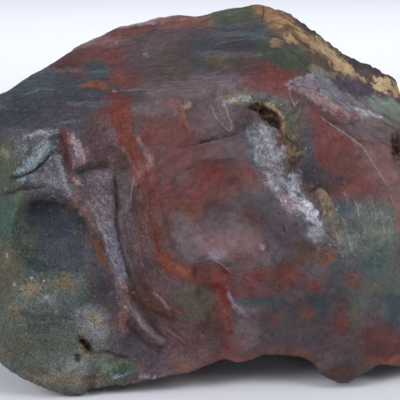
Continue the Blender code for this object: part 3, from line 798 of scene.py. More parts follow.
    "green_dark_end": ("deep_teal", (394, 318), (8, 18), 0, 0.7),
    "mauve_foot": ("mauve", (338, 364), (22, 20), 0, 0.8),
    "brown_foot": ("brown", (338, 380), (14, 7), 0, 0.9),
    "tooth_brown": ("brown", (344, 377), (13, 8), 0, 0.7),
    "red_end": ("red", (386, 345), (15, 8), 20, 0.7),
    # below the arc
    "mauve_low_left": ("red_mauve", (138, 240), (12, 44), -8, 0.7),
    "mauve_low": ("wine", (146, 278), (14, 16), -30, 0.7),
    "brown_by_arc": ("red_brown", (140, 222), (5, 14), 0, 0.5),
    "ripple_brown": ("brown", [(134, 294), (148, 308), (166, 321)], 9, 0.95),
    # painted highlight along the ripple's edge
    "ripple_highlight": ("salmon", [(154, 299), (162, 306), (168, 315)], 1.6, 0.8),
    "ripple_red": ("red", (176, 316), (8, 6), 20, 0.7),
    "ripple_grey": ("mauve", (184, 326), (12, 8), 0, 0.6),
    "low_middle": ("red_mauve", (182, 350), (24, 22), 0, 0.7),
    "low_middle_red": ("crimson", (192, 352), (9, 8), 0, 0.7),
    "low_middle_brown": ("rust", (186, 374), (10, 4), 0, 0.7),
    "low_middle_rose": ("pink", (150, 374), (14, 7), 0, 0.5),
    "low_middle_glint": ("pale_pink", [(140, 382), (154, 384)], 2, 0.5),
    "small_ripple_light": ("salmon", [(168, 336), (176, 342), (184, 350)], 1.4, 0.5),
    # the flame beside the ridge
    "flame": ("vermilion", [(121, 126), (127, 145), (134, 161), (142, 174), (150, 184)], 9, 0.85),
    "flame_bright": ("vermilion", [(124, 132), (129, 148), (135, 160)], 3.4, 0.6),
    "flame_tail": ("red", [(146, 172), (152, 190), (155, 204)], 8, 0.9),
    "flame_tail_light": ("salmon", (147, 175), (8, 11), -20, 0.6),
    "flame_edge": ("pink", [(138, 140), (143, 152), (152, 168)], 2.2, 0.8),
    "flame_shade": ("brown", (120, 164), (9, 13), -20, 0.85),
    "green_hollow": ("mauve", (125, 186), (9, 14), -14, 0.7),
    "green_hollow_olive": ("olive", (122, 180), (6, 7), 0, 0.7),
    "mauve_right_of_ridge": ("pale_mauve", (124, 222), (7, 30), -4, 0.8),
    "violet_right_of_ridge": ("mauve", (120, 206), (5, 20), 0, 0.5),
    # the ridge and its flanks
    "flank_pink": ("pink", [(74, 190), (82, 208), (92, 226)], 8, 0.85),
    "flank_salmon": ("salmon", [(72, 206), (84, 214)], 5, 0.5),
    "flank_brown": ("dark_brown", [(74, 220), (84, 236), (96, 252)], 7, 0.7),
    "flank_brown_red": ("dark_red", [(80, 226), (90, 242), (102, 258)], 5, 0.6),
    "flank_rust": ("rust", [(94, 248), (103, 264), (113, 284)], 4, 0.8),
    "ridge": ("pale_mauve", [(98, 182), (102, 200), (107, 222), (112, 244), (117, 264), (123, 286)], 8, 1),
    "ridge_upper": ("pale_mauve", [(98, 184), (101, 204), (105, 224)], 13, 1),
    "ridge_upper_light": ("lilac", [(100, 190), (104, 208), (107, 226)], 7, 0.5),
    # painted sheen: bluish light reflected by the ridge's upper left face
    "ridge_bluish_sheen": ("blue_lilac", [(106, 232), (112, 248), (117, 266), (121, 280)], 6, 0.75),
    # painted highlight along the ridge's left edge
    "ridge_highlight": ("pale_pink", [(88, 206), (96, 222), (104, 244), (111, 264), (119, 286)], 1.5, 0.6),
    "ridge_top": ("lilac", (101, 186), (11, 9), 0, 0.6),
    "ridge_head": ("pale_mauve", (103, 196), (12, 15), 0, 0.85),
    "ridge_shade": (
        "groove", [(114, 186), (116, 205), (116, 232), (121, 252), (128, 276), (133, 294)], 2.6, 0.5
    ),
    "ridge_foot": ("pink", [(121, 294), (125, 312), (122, 336)], 5.5, 0.85),
    "ridge_foot_red": ("red_brown", (122, 331), (7, 9), 0, 0.6),
    # painted shade in the groove above the strip
    "upper_groove": ("brown", [(129, 299), (139, 313), (150, 324), (158, 331)], 3, 0.7),
    "strip": ("pale_mauve", [(132, 314), (141, 328), (151, 339), (161, 349)], 4.2, 0.95),
    # painted highlight along the crest of the strip
    "strip_highlight": ("lilac", [(134, 320), (142, 332), (150, 340)], 1.6, 0.5),
    "strip_right": ("purple", [(146, 322), (158, 336), (170, 344)], 4, 0.5),
    # painted shade in the groove under the strip
    "lower_groove": ("groove", [(128, 331), (138, 344), (150, 353), (162, 360)], 3.6, 0.7),
    "purple_slope": ("purple", [(120, 348), (136, 356), (154, 370)], 11, 0.9),
    "purple_slope_dark": ("dark_slate", (124, 358), (9, 7), 0, 0.5),
    # the rough steps of the upper left
    "step_ground": ("slate", (48, 166), (42, 36), 0, 0.8),
    "step_olive": ("moss_shade", (6, 168), (13, 28), 0, 0.9),
    "step_spot": ("olive_cream", (2, 156), (4, 4), 0, 0.8),
    "step_grey": ("grey_quartz", (40, 149), (28, 15), 0, 0.5),
    # painted highlight along the step's upper edge
    "step_edge_highlight": ("quartz", [(22, 139), (36, 136), (60, 134)], 1.8, 0.7),
    "step_teal": ("teal_quartz", [(20, 178), (32, 166), (47, 152)], 7, 0.85),
    "step_dark": ("dark_slate", (56, 148), (7, 10), 0, 0.6),
    "step_low": ("grey_quartz", (48, 186), (20, 14), 0, 0.5),
    "step_white": ("grey_quartz", [(57, 162), (60, 178), (65, 198)], 3.6, 0.8),
    "step_white_thread": ("quartz", [(60, 172), (63, 186), (67, 200)], 1.2, 0.6),
    "step_shade": ("purple", (36, 198), (22, 7), 0, 0.6),
    "pink_block_rim": ("dark_red", [(60, 134), (63, 150), (64, 166)], 3.6, 0.85),
    "pink_block": ("pale_pink", [(70, 141), (76, 148), (80, 157)], 5, 1),
    "pink_block_low": ("pink", [(70, 169), (80, 166), (86, 152)], 3, 0.9),
    "pink_block_red": ("red", [(66, 132), (68, 172), (72, 186)], 2.6, 0.7),
    "pink_dots": ("hot_pink", [(72, 184), (76, 187), (80, 189)], 1.2, 0.6),
    "behind_block": ("wine", (98, 152), (14, 18), 0, 0.85),
    "behind_block_purple": ("groove", (104, 160), (9, 12), 0, 0.4),
    "block_groove": ("dark_brown", [(78, 176), (92, 171), (105, 168)], 2.2, 0.85),
    # the lower left
    "hollow": ("dark_slate", (46, 232), (34, 30), 8, 1),
    # painted shade at the top of the hollow, under the step
    "hollow_shade": ("pit", (36, 212), (22, 8), -6, 0.45),
    "hollow_brown": ("brown", (66, 208), (10, 5), 10, 0.5),
    "hollow_blue": ("slate", (68, 262), (22, 22), 0, 0.9),
    "hollow_violet": ("purple", (98, 284), (12, 20), 0, 0.6),
    "hollow_moss": ("moss_shade", (26, 250), (12, 16), 0, 0.5),
    "sea_edge": ("sea_green", (5, 224), (13, 30), 0, 1),
    "moss_edge": ("moss_shade", (18, 208), (6, 24), 0, 0.8),
    "ochre_edge": ("olive", (5, 276), (14, 28), 0, 0.9),
    "ochre_edge_light": ("olive_cream", (4, 262), (6, 9), 0, 0.4),
    "teal_pool": ("deep_teal", (38, 272), (14, 9), 0, 0.9),
    "cream_pool": ("olive_cream", (29, 294), (10, 7), 0, 1),
    "olive_pool": ("ochre", (64, 289), (10, 9), 0, 0.75),
    "grey_pool": ("teal", (72, 310), (16, 12), 0, 0.7),
    "grey_light": ("grey_quartz", (46, 305), (7, 5), 0, 0.5),
    "rose_left": ("ochre", (14, 317), (10, 8), 0, 0.5),
    "fold": ("deep_teal", [(22, 320), (48, 324), (80, 325)], 3, 0.6),
    "fold_teal": ("deep_teal", [(30, 331), (55, 333), (78, 334)], 5, 0.6),
    "blue_pool": ("grey_quartz", (90, 330), (15, 17), 0, 0.8),
    "cream_dot": ("olive_cream", (95, 326), (6, 5), 0, 1),
    "bulge": ("green_grey", (44, 362), (58, 30), 0, 0.8),
    "bulge_moss": ("moss_shade", (34, 350), (26, 14), 0, 0.4),
    "bulge_pale": ("pale_green", (72, 372), (22, 14), 0, 0.7),
    "bulge_glint": ("grey_quartz", (78, 374), (12, 8), 0, 0.5),
    "bulge_olive": ("olive", (14, 352), (14, 12), 0, 0.5),
    "bulge_foot": ("olive_cream", (58, 386), (40, 8), 4, 0.55),
    "brown_foot_left": ("crust", (36, 378), (11, 4), 0, 0.8),
    "brown_foot_far": ("crust", (10, 364), (9, 4), 30, 0.6),
    "mint_foot": ("moss_shade", (113, 376), (20, 12), 8, 0.9),
    "mint_foot_light": ("mint", (106, 372), (7, 6), 0, 0.2),
    "mint_foot_teal": ("sea_green", (122, 380), (10, 7), 0, 0.9),
    "mint_foot_glint": ("teal_quartz", [(112, 384), (122, 383), (129, 379)], 1.4, 0.7),
    "base_crack": ("brown", [(99, 357), (109, 358), (118, 363), (126, 366)], 2, 0.6),
    "pit_rim": ("olive_cream", (84, 356), (8, 6), 20, 0.7),
    "pit_dark": ("dark_brown", [(80, 345), (86, 350), (91, 359)], 3.4, 0.8),
    "pit_dark_low": ("pit", (77, 363), (3.4, 2.4), 0, 1),
    "notch_brown": ("crust", [(92, 378), (91, 390)], 5, 0.6),
    "glint_1": ("bright_quartz", (29, 283), (1.2, 1.1), 0, 1),
    "glint_2": ("bright_quartz", (42, 286), (1.3, 1.3), 0, 1),
    "glint_3": ("bright_quartz", (4, 262), (1.1, 1.3), 0, 0.9),
    "glint_4": ("quartz", (13, 290), (1.8, 1.5), 0, 0.9),
    "glint_5": ("hot_pink", (115, 44), (2.2, 1.6), 0, 0.9),
    "glint_6": ("pale_pink", (145, 56), (3.4, 1.6), 0, 0.7),
    "glint_7": ("hot_pink", (115, 94), (1.8, 1.6), 0, 0.9),
    "glint_8": ("olive_cream", (78, 218), (1.8, 1.8), 0, 0.8),
}
# How strongly the stains colour the stone, once the pale haze of reflected light is taken off
PAINT_GAIN = 0.635
HAZE = 0.012
DARKEST = 0.004
# How softly a stain's rim fades, for patches, narrow lines and broad lines, and how much the stone breaks it
FEATHER = 1.0
STREAK_FEATHER = 0.8
SOFT_FEATHER, SOFT_WIDTH = 1.3, 4
EDGE_BREAK = 0.42
EDGE_CELL, EDGE_SEED = 2.4 * MM, 15
# Crystals end more sharply, in ragged grains
SHARP_FEATHER = 0.4
SHARP_BREAK = 0.65
SHARP_CELL, SHARP_SEED = 1.3 * MM, 16
SHARP_COLOURS = ("quartz", "bright_quartz", "teal_quartz", "pale_pink", "hot_pink", "gold", "pale_gold")
FINE_STRAY_CELL = 1.5 * MM
FINE_STRAY = 1.6
FINE_STRAY_SEEDS = (13, 14)


def paint_colour(name):
    """The stain's strength in each of red, green and blue, from how light it looks."""
    shown = np.array(STONE_COLOURS[name]) / 255
    return np.maximum(((shown + 0.055) / 1.055) ** 2.4 - HAZE, DARKEST) * PAINT_GAIN


def mixed(under, name, share):
    return under + (paint_colour(name) - under) * share[:, None]


points, normals = points_of(form), normals_of(form)
straight, _ = seen_at(points)
stray = np.stack([lumps(points, STRAY_CELL, seed, 4) for seed in STRAY_SEEDS], axis=1)
fine_stray = np.stack([lumps(points, FINE_STRAY_CELL, seed, 2) for seed in FINE_STRAY_SEEDS], axis=1)
seen = straight + STRAY * stray + FINE_STRAY * fine_stray
broken = lumps(points, EDGE_CELL, EDGE_SEED, 3)
sugar_break = lumps(points, SHARP_CELL, SHARP_SEED, 2)

# The front's stains, painted highlights and painted shade, feathered at their rims, and carried a little way
# round the edges
STAINED_FACING = (-0.25, 0.15)
LEFT_END, RIGHT_END = (-22, -4), (-424, -404)
front = ease(normals @ TOWARDS_EYE, *STAINED_FACING)
front *= ease(straight[:, 0], *LEFT_END) * ease(-straight[:, 0], *RIGHT_END)
colour = np.tile(paint_colour("mauve"), (len(points), 1))
for stain_and_painted_light in FRONT_STAINS_AND_PAINTED_LIGHT.values():
    name, place, share = stain_and_painted_light[0], stain_and_painted_light[1], stain_and_painted_light[-1]
    if isinstance(place, list):
        feather = SOFT_FEATHER if stain_and_painted_light[2] > SOFT_WIDTH else STREAK_FEATHER
        reach = line_distance(seen, place)[0] / stain_and_painted_light[2]
    else:
        reach, feather = patch_reach(seen, place, stain_and_painted_light[2], stain_and_painted_light[3]), FEATHER
    edge_break = EDGE_BREAK * broken
    if name in SHARP_COLOURS:
        feather, edge_break = SHARP_FEATHER, SHARP_BREAK * sugar_break
    inside = ease(1 + feather / 2 - reach - edge_break, 0, feather)
    colour = mixed(colour, name, share * inside)
PIT_STAIN_RIM = (0.5, 0.95)
crumble = lumps(points, ROUGH_CELL, ROUGH_SEED, 2)
for middle, halves, turn, _ in PITS.values():
    reach = patch_reach(seen, middle, halves, turn) + RAGGED * crumble
    inside = 1 - ease(reach, *PIT_STAIN_RIM)
    colour = mixed(colour, "pit", 0.9 * inside)
    colour = mixed(colour, "rust", 0.9 * inside * ease(sugar_break, -0.1, 0.25))
    colour = mixed(colour, "ochre", 0.8 * inside * ease(sugar_break, 0.2, 0.45))

# Rows of teal and purple run along the scraped top
ROWED = {"left": ((44, 102), (66, 38), -14), "slate": ((236, 62), (36, 40), 0)}
ROW_SPACING, ROW_STRETCH, ROW_SEED = 7, (0.09, 1), 41
ROW_EDGE = (0.12, 0.5)
PATCH_REACH, PATCH_FADE = 1.3, 0.6
striped = striped_share(points, normals)
rows = lumps(np.column_stack([seen * ROW_STRETCH, np.zeros(len(points))]), ROW_SPACING, ROW_SEED, 3)
rowed = striped * np.maximum.reduce([
    ease(PATCH_REACH - patch_reach(seen, middle, halves, turn), 0, PATCH_FADE)
    for middle, halves, turn in ROWED.values()
])
colour = mixed(colour, "teal_quartz", rowed * 0.3 * ease(rows, *ROW_EDGE))
colour = mixed(colour, "purple", rowed * 0.5 * ease(-rows, *ROW_EDGE))

# Dark lines follow the low parts of the rind's crags
CRUST_EDGE = (0.04, 0.16)
rind = rind_share(points, normals)
crags = np.abs(lumps(points, RIND_CELL, RIND_SEED, 4))
colour = mixed(colour, "dark_crust", rind * 0.75 * (1 - ease(crags, *CRUST_EDGE)))

# Painted shade and painted light: soft patches that darken or lighten the colour where less or more light
# falls on the stone, partly also its own tone: the middle, half sizes and turn of each soft patch, and how
# light it is beside its surroundings
PAINTED_LIGHT_AND_SHADE = {
    "top_middle": ((186, 62), (60, 20), -6, 0.73),
    "top_slate": ((238, 50), (26, 24), 0, 0.74),
    "top_left": ((62, 66), (24, 16), 0, 0.56),
    "below_top": ((150, 100), (66, 14), 0, 0.77),
    "slate_patch": ((306, 178), (18, 17), 0, 0.50),
    "lower_right": ((292, 318), (54, 38), 0, 0.58),
    "right_foot": ((342, 354), (32, 34), 0, 0.68),
    "low_left": ((36, 338), (46, 24), 0, 0.64),
    "violet_slope": ((100, 300), (18, 22), 0, 0.50),
    "left_end": ((28, 266), (34, 20), 0, 0.70),
    "left_slope": ((66, 262), (18, 16), 0, 0.88),
    "top_left_end": ((16, 106), (20, 16), -20, 0.58),
    "step_end": ((18, 182), (18, 14), 0, 0.84),
    "low_foot": ((216, 340), (38, 20), 0, 0.71),
    "ridge_foot": ((106, 342), (16, 18), 0, 1.28),
    "left_foot": ((100, 378), (18, 14), 0, 1.35),
    "middle_foot": ((196, 374), (44, 12), -4, 1.45),
    "fan": ((220, 134), (22, 22), 0, 1.68),
    "dish_left": ((176, 178), (28, 26), 0, 1.50),
    "band_left": ((252, 176), (13, 22), -20, 1.50),
    "band_foot": ((304, 216), (20, 14), 40, 1.40),
    "vug_side": ((262, 98), (22, 12), 0, 1.26),
    "wedge": ((300, 98), (20, 16), 0, 1.20),
    "ridge_head": ((98, 188), (16, 24), 0, 1.18),
    "beside_ridge": ((136, 224), (18, 34), 0, 1.12),
    "shoulder": ((345, 112), (34, 12), 33, 1.2),
    "sea_edge": ((14, 222), (18, 20), 0, 1.18),
    "pale_step": ((63, 182), (8, 16), 0, 0.85),
    "teal_step": ((34, 168), (14, 10), -40, 1.2),
    "low_right_edge": ((330, 300), (26, 20), 0, 0.85),
    "moss_top": ((248, 16), (28, 12), 0, 0.78),
    "moss_side": ((262, 60), (22, 14), 0, 0.84),
    "dish_foot": ((214, 258), (22, 18), 0, 1.22),
    "below_band": ((262, 260), (18, 16), 0, 0.84),
    "right_middle": ((300, 262), (20, 16), 0, 0.82),
    "band_top": ((270, 146), (12, 14), 0, 0.86),
    "step_foot": ((58, 178), (18, 14), 0, 0.84),
    "red_side": ((340, 182), (20, 14), 0, 0.86),
}

# Fine mottling, and lumps of light and shade in the sugary quartz
MOTTLE, LUMPED, VIVID = 0.2, 0.38, 1.13
MOTTLE_CELL, BROAD_MOTTLE_CELL, LUMPED_CELL = 1.9 * MM, 5 * MM, 2.1 * MM
MOTTLE_SEED, BROAD_MOTTLE_SEED, LUMPED_SEED = 42, 43, 44
mottle = lumps(points, MOTTLE_CELL, MOTTLE_SEED, 3)
mottle = mottle + 0.6 * lumps(points, BROAD_MOTTLE_CELL, BROAD_MOTTLE_SEED, 2)
sugary = rough_height(seen) / max(rise for *_, rise in ROUGH.values())
lumped = sugary * lumps(points, LUMPED_CELL, LUMPED_SEED, 2)
# painted shade and painted light, patch by patch
for middle, halves, turn, painted_lightness in PAINTED_LIGHT_AND_SHADE.values():
    colour *= 1 + (painted_lightness - 1) * np.exp(-patch_reach(seen, middle, halves, turn) ** 2)[:, None]
colour *= (1 + MOTTLE * mottle + LUMPED * lumped)[:, None]
greyed = colour.mean(axis=1)[:, None]
colour = greyed + VIVID * (colour - greyed)
colour = np.clip(colour, DARKEST, 1)

# Cracks, pale threads, and painted highlights along edges and crests are finer than the mesh. Each has a
# line, a half width and a strength, and the skin carries which side of the nearest line a point lies on, so
# that the finish can draw the line itself.
CRACKS = {
    "slanting": ([(10, 184), (22, 180), (34, 174), (42, 166), (52, 155)], 1.0, 1.0),
    "step_low": ([(0, 200), (10, 197), (22, 193), (46, 191)], 0.7, 0.8),
    "step_top": ([(24, 141), (30, 152), (22, 166)], 0.5, 0.3),
    "step_inner": ([(52, 150), (60, 158), (66, 168)], 0.5, 0.5),
    "step_foot": ([(40, 204), (50, 198), (60, 202), (68, 198)], 0.6, 0.4),
    "beside_ridge": (
        [(112, 168), (115, 190), (116, 212), (116, 232), (120, 250), (127, 276), (134, 298)], 0.9, 0.8
    ),
    "brown_groove": ([(70, 178), (80, 174), (94, 170), (108, 170)], 0.8, 0.5),
    "fold_top": ([(112, 170), (122, 164), (132, 158)], 0.5, 0.3),
    "pink_block_side": ([(64, 134), (66, 150), (66, 168), (70, 182)], 0.6, 0.4),
    "level": ([(196, 147), (208, 145), (222, 141), (232, 138), (242, 135)], 0.7, 0.9),
    "level_left": ([(176, 152), (188, 149), (200, 146)], 0.4, 0.4),
    "band_right": ([(284, 128), (287, 142), (298, 150), (300, 160), (290, 172), (292, 184)], 0.8, 0.6),
    "band_left": ([(250, 128), (254, 148), (252, 164), (262, 176)], 0.5, 0.4),
    "band_knob_top": ([(308, 196), (318, 192), (326, 194), (332, 204)], 0.7, 0.9),
    "band_foot_right": ([(318, 210), (324, 228), (330, 246)], 0.6, 0.4),
    "band_knob": ([(266, 150), (272, 166), (284, 170)], 0.5, 0.4),
    "pit_left": ([(250, 106), (252, 112), (262, 110)], 0.6, 0.5),
    "base": ([(98, 357), (110, 358), (118, 363), (128, 366)], 0.7, 0.5),
    "foot_fold": ([(128, 330), (140, 346), (152, 354), (166, 362)], 0.7, 0.5),
    "upper_fold": ([(130, 300), (142, 315), (158, 330)], 0.6, 0.4),
    "fold_side": ([(124, 300), (120, 318), (124, 336)], 0.5, 0.3),
    "rind": ([(262, 3), (264, 12), (262, 22)], 0.7, 0.8),
    "rind_long": ([(284, 28), (298, 40), (314, 52), (324, 66)], 0.6, 0.6),
    "shoulder": ([(330, 124), (346, 127), (362, 121)], 0.6, 0.35),
    "wedge": ([(302, 101), (294, 112), (290, 104)], 0.5, 0.3),
    "right_pit": ([(392, 138), (394, 150), (398, 160)], 0.9, 0.8),
    "shelf": ([(196, 270), (210, 266), (224, 274), (230, 282)], 0.5, 0.4),
    "top_edge": ([(94, 50), (104, 46), (116, 42)], 0.5, 0.4),
    "low_left": ([(22, 324), (44, 327), (64, 325), (82, 328)], 0.5, 0.2),
}
THREADS_AND_HIGHLIGHTS = {
    "fan_left": ([(212, 107), (214, 116), (220, 126), (226, 132), (232, 137)], 0.5, 0.7),
    "fan_middle": ([(218, 106), (222, 118), (230, 130), (234, 137)], 0.35, 0.4),
    "fan_right": ([(225, 104), (228, 118), (232, 130), (236, 138)], 0.55, 0.9),
    # painted highlight along the arris
    "arris": (
        [(312, 112), (326, 124), (345, 137), (362, 150), (374, 168), (384, 184), (392, 195)], 0.8, 0.45
    ),
    "orange_ripple": ([(180, 104), (184, 118), (190, 134)], 0.4, 0.3),
    "wedge_rim": ([(288, 84), (290, 98), (294, 108), (302, 101)], 0.5, 0.5),
    "patch_top": ([(288, 86), (298, 80), (312, 76)], 0.6, 0.4),
    "dash_1": ([(343, 194), (346, 202), (349, 210)], 0.5, 0.5),
    "dash_2": ([(354, 204), (358, 214), (359, 222)], 0.6, 0.55),
    "dash_3": ([(335, 236), (338, 246), (339, 256)], 0.6, 0.6),
    "dash_4": ([(347, 238), (350, 248), (351, 258)], 0.5, 0.5),
    "dash_5": ([(363, 228), (366, 240)], 0.5, 0.35),
    "dash_6": ([(380, 216), (383, 228), (385, 242)], 0.5, 0.35),
    "dash_7": ([(370, 204), (374, 214), (376, 226)], 0.45, 0.35),
    "dash_8": ([(390, 224), (393, 240)], 0.4, 0.25),
    "dash_9": ([(342, 222), (344, 232)], 0.4, 0.3),
    # painted highlights along the shelf's and the column's right edges
    "shelf_highlight": ([(212, 266), (222, 270), (232, 280)], 0.6, 0.3),
    "column_highlight": ([(228, 298), (234, 310), (246, 320)], 0.5, 0.4),
    "pale_thread": ([(134, 180), (132, 192), (129, 208)], 0.5, 0.6),
    "flame_thread": ([(120, 148), (130, 164), (142, 184)], 0.4, 0.35),
    "flame_thread_low": ([(138, 182), (145, 198), (148, 216)], 0.35, 0.25),
    # painted highlight along the ridge's left edge
    "ridge_edge_highlight": ([(84, 200), (94, 222), (103, 242), (110, 262), (118, 284)], 0.5, 0.35),
    "lilac_top": ([(118, 93), (132, 92), (150, 93)], 0.4, 0.6),
    "top_scratch": ([(212, 47), (230, 43), (248, 39)], 0.4, 0.3),
    "teal_scratch": ([(20, 98), (38, 91), (58, 92)], 0.5, 0.3),
    "edge_glint": ([(60, 56), (78, 46), (98, 39)], 0.5, 0.35),
    # painted highlight along the top edge
    "rim": ([(122, 27), (142, 24), (160, 19), (176, 16)], 0.5, 0.4),
    # painted highlight along the step's upper edge
    "step_rim_highlight": ([(22, 139), (40, 135), (62, 132)], 0.6, 0.6),
    "step_fibre": ([(26, 172), (38, 158), (50, 146)], 0.5, 0.5),
    "step_fibre_low": ([(22, 180), (36, 168), (46, 158)], 0.45, 0.35),
    "block_fibre": ([(58, 166), (62, 182), (68, 202)], 0.5, 0.5),
    "block_fibre_low": ([(52, 204), (56, 192), (62, 184)], 0.4, 0.35),
    "pink_rim": ([(68, 136), (74, 146), (82, 158), (83, 168)], 0.5, 0.5),
    # painted highlight along the strip
    "strip": ([(134, 316), (142, 331), (152, 341)], 0.5, 0.3),
    # painted highlight along the ripple's edge
    "ripple": ([(154, 298), (162, 306), (170, 318)], 0.4, 0.5),
    # painted highlight along the lower edge
    "foot_highlight": ([(136, 384), (152, 386), (168, 382)], 0.6, 0.4),
    "band_rim": ([(318, 200), (324, 212), (322, 232)], 0.6, 0.5),
    "slate_glint": ([(309, 190), (318, 193), (328, 196)], 0.4, 0.4),
    # painted highlight on the grey shoulder
    "shoulder_highlight": ([(352, 108), (366, 113), (380, 120)], 0.6, 0.6),
    # painted highlight where the arris ends
    "end_highlight": ([(388, 196), (396, 212)], 0.4, 0.4),
}
# How many half widths of its line a point can lie from it, and how far the lines stray
LINE_REACH = 4
LINE_STRAY, LINE_FINE_STRAY = 0.8, 0.7


def nearest_line(seen, lines):
    """Which side of the nearest line each point is on, in half widths, and how much of the line is there."""
    side, there = np.full(len(seen), float(LINE_REACH)), np.zeros(len(seen))
    for line, half_width, strength in lines.values():
        _, to_right, ends = line_distance(seen, line)
        closer = np.abs(to_right / half_width) < np.abs(side)
        side[closer] = to_right[closer] / half_width
        there[closer] = strength * ends[closer]
    return side, there * (1 - ease(np.abs(side), 0.6 * LINE_REACH, LINE_REACH)) * front


line_seen = straight + LINE_STRAY * stray + LINE_FINE_STRAY * fine_stray
line_layer = form.attributes.new("lines", "FLOAT_COLOR", "POINT")
line_layer.data.foreach_set("color", np.column_stack([
    *nearest_line(line_seen, CRACKS), *nearest_line(line_seen, THREADS_AND_HIGHLIGHTS),
]).ravel())

# Where the stone is grainy, and which way its fibres run, as seen from the front: the middle, half sizes,
# turn and strength of each patch
GRAINY = {
    "left": ((50, 270), (120, 190), 0, 1.0),
    "upper_left": ((30, 110), (90, 44), -14, 0.6),
    "upper_right": ((282, 84), (86, 60), 10, 0.6),
    "band": ((296, 180), (34, 70), -35, 0.6),
    "low_left": ((150, 350), (60, 50), 0, 0.8),
    "right": ((360, 240), (34, 44), 0, 0.5),
}
FIBRES = {
    "rising": [((40, 158), (34, 26), 0, 1.0), ((24, 110), (60, 30), -10, 0.3)],
    "falling": [
        ((104, 212), (14, 50), -14, 1.0), ((340, 104), (50, 14), 33, 1.0), ((58, 196), (24, 16), 0, 0.5),
        ((146, 326), (40, 34), 30, 0.6), ((222, 274), (22, 10), 20, 0.7),
    ],
    "steep": [
        ((366, 232), (36, 44), 0, 0.4), ((134, 240), (18, 66), 0, 0.7), ((74, 152), (14, 24), 0, 0.8),
        ((226, 318), (14, 36), 0, 0.5), ((276, 170), (26, 52), -30, 0.6), ((224, 122), (18, 18), 0, 0.5),
        ((134, 150), (20, 40), -20, 0.5),
    ],
}


def patched(seen, patches):
    return np.maximum.reduce([
        share * ease(PATCH_REACH - patch_reach(seen, middle, halves, turn), 0, PATCH_FADE)
        for middle, halves, turn, share in patches
    ])


GRAINY_BEHIND = 0.8
grainy = patched(seen, GRAINY.values()) * front + GRAINY_BEHIND * (1 - front)
rising, falling, steep = (patched(seen, patches) * front for patches in FIBRES.values())
fibre_layer = form.attributes.new("fibre", "FLOAT_COLOR", "POINT")
fibre_layer.data.foreach_set("color", np.column_stack([grainy, rising, falling, steep]).ravel())

# the colour, with its painted light and shade, goes onto the skin
stain_and_light_layer = form.attributes.new("stain_and_painted_light", "FLOAT_COLOR", "POINT")
stain_and_light_layer.data.foreach_set("color", np.column_stack([colour, np.ones(len(colour))]).ravel())
grain_layer = form.attributes.new("grain", "FLOAT_COLOR", "POINT")
grain = np.column_stack([sugary * front, striped, rind, front])
grain_layer.data.foreach_set("color", grain.ravel())


class Wire:
    """One socket of a material. Arithmetic on it adds Math nodes."""

    def __init__(self, tree, socket=None):
        self.tree = tree
        self.socket = socket

    def node(self, kind, settings, values, output=0):
        made = self.tree.nodes.new("ShaderNode" + kind)
        for name, value in settings.items():
            setattr(made, name, value)
        for name, value in values.items():
            if isinstance(value, Wire):
                self.tree.links.new(value.socket, made.inputs[name])
            else:
                made.inputs[name].default_value = value
        return Wire(self.tree, made.outputs[output])

    def math(self, operation, *values):
        return self.node("Math", {"operation": operation}, dict(enumerate(values)))

    def __add__(self, other):
        return self.math("ADD", self, other)

    def __sub__(self, other):
        return self.math("SUBTRACT", self, other)

    def __rsub__(self, other):
        return self.math("SUBTRACT", other, self)

    def __mul__(self, other):
        return self.math("MULTIPLY", self, other)

    __radd__ = __add__
    __rmul__ = __mul__

    def between(self, low, high):
        """0 below low, 1 above high, and smooth between them."""
        return self.node("MapRange", {"interpolation_type": "SMOOTHSTEP"}, {
            "Value": self, "From Min": low, "From Max": high,
        })

    def toward(self, other, share, blend="MIX"):
        """This colour mixed with another."""
        mix = self.tree.nodes.new("ShaderNodeMix")
        mix.data_type = "RGBA"
        mix.blend_type = blend
        for name, value in (("A_Color", self), ("B_Color", other), ("Factor_Float", share)):
            socket = next(s for s in mix.inputs if s.identifier == name)
            if isinstance(value, Wire):
                self.tree.links.new(value.socket, socket)
            else:
                socket.default_value = value
        return Wire(self.tree, next(s for s in mix.outputs if s.identifier == "Result_Color"))


finish = bpy.data.materials.new("jasper_stone")
finish.use_nodes = True
tree = finish.node_tree
shader = tree.nodes["Principled BSDF"]
wires = Wire(tree)
place = wires.node("TexCoord", {}, {}, "Object")


def carried(name, output):
    """What the skin carries under a name."""
    return wires.node("Attribute", {"attribute_name": name}, {}, output)


def part_of(colour, part):
    return wires.node("SeparateColor", {}, {"Color": colour}, part)


stain_and_painted_light = carried("stain_and_painted_light", "Color")
grain, front = carried("grain", "Color"), carried("grain", "Alpha")
sugar, scraped, rind = part_of(grain, "Red"), part_of(grain, "Green"), part_of(grain, "Blue")
fibres, steep = carried("fibre", "Color"), carried("fibre", "Alpha")
grainy = part_of(fibres, "Red")
lines, thread_there = carried("lines", "Color"), carried("lines", "Alpha")


def speckle(scale, detail=4.0, roughness=0.6, vector=place):
    return wires.node("TexNoise", {}, {
        "Vector": vector, "Scale": scale, "Detail": detail, "Roughness": roughness,
    }, "Fac")


def cells(scale, output, feature="F1"):
    return wires.node("TexVoronoi", {"feature": feature}, {"Vector": place, "Scale": scale}, output)


def streaks(scale, turn):
    """Noise drawn out along a direction that rises to the right by turn degrees."""
    turned = wires.node("VectorRotate", {"rotation_type": "Y_AXIS"}, {
        "Vector": place, "Angle": math.radians(turn),
    }, "Vector")
    drawn = wires.node("VectorMath", {"operation": "MULTIPLY"}, {0: turned, 1: (0.1, 1.0, 1.0)}, "Vector")
    return speckle(scale, 4.0, 0.6, drawn) - 0.5


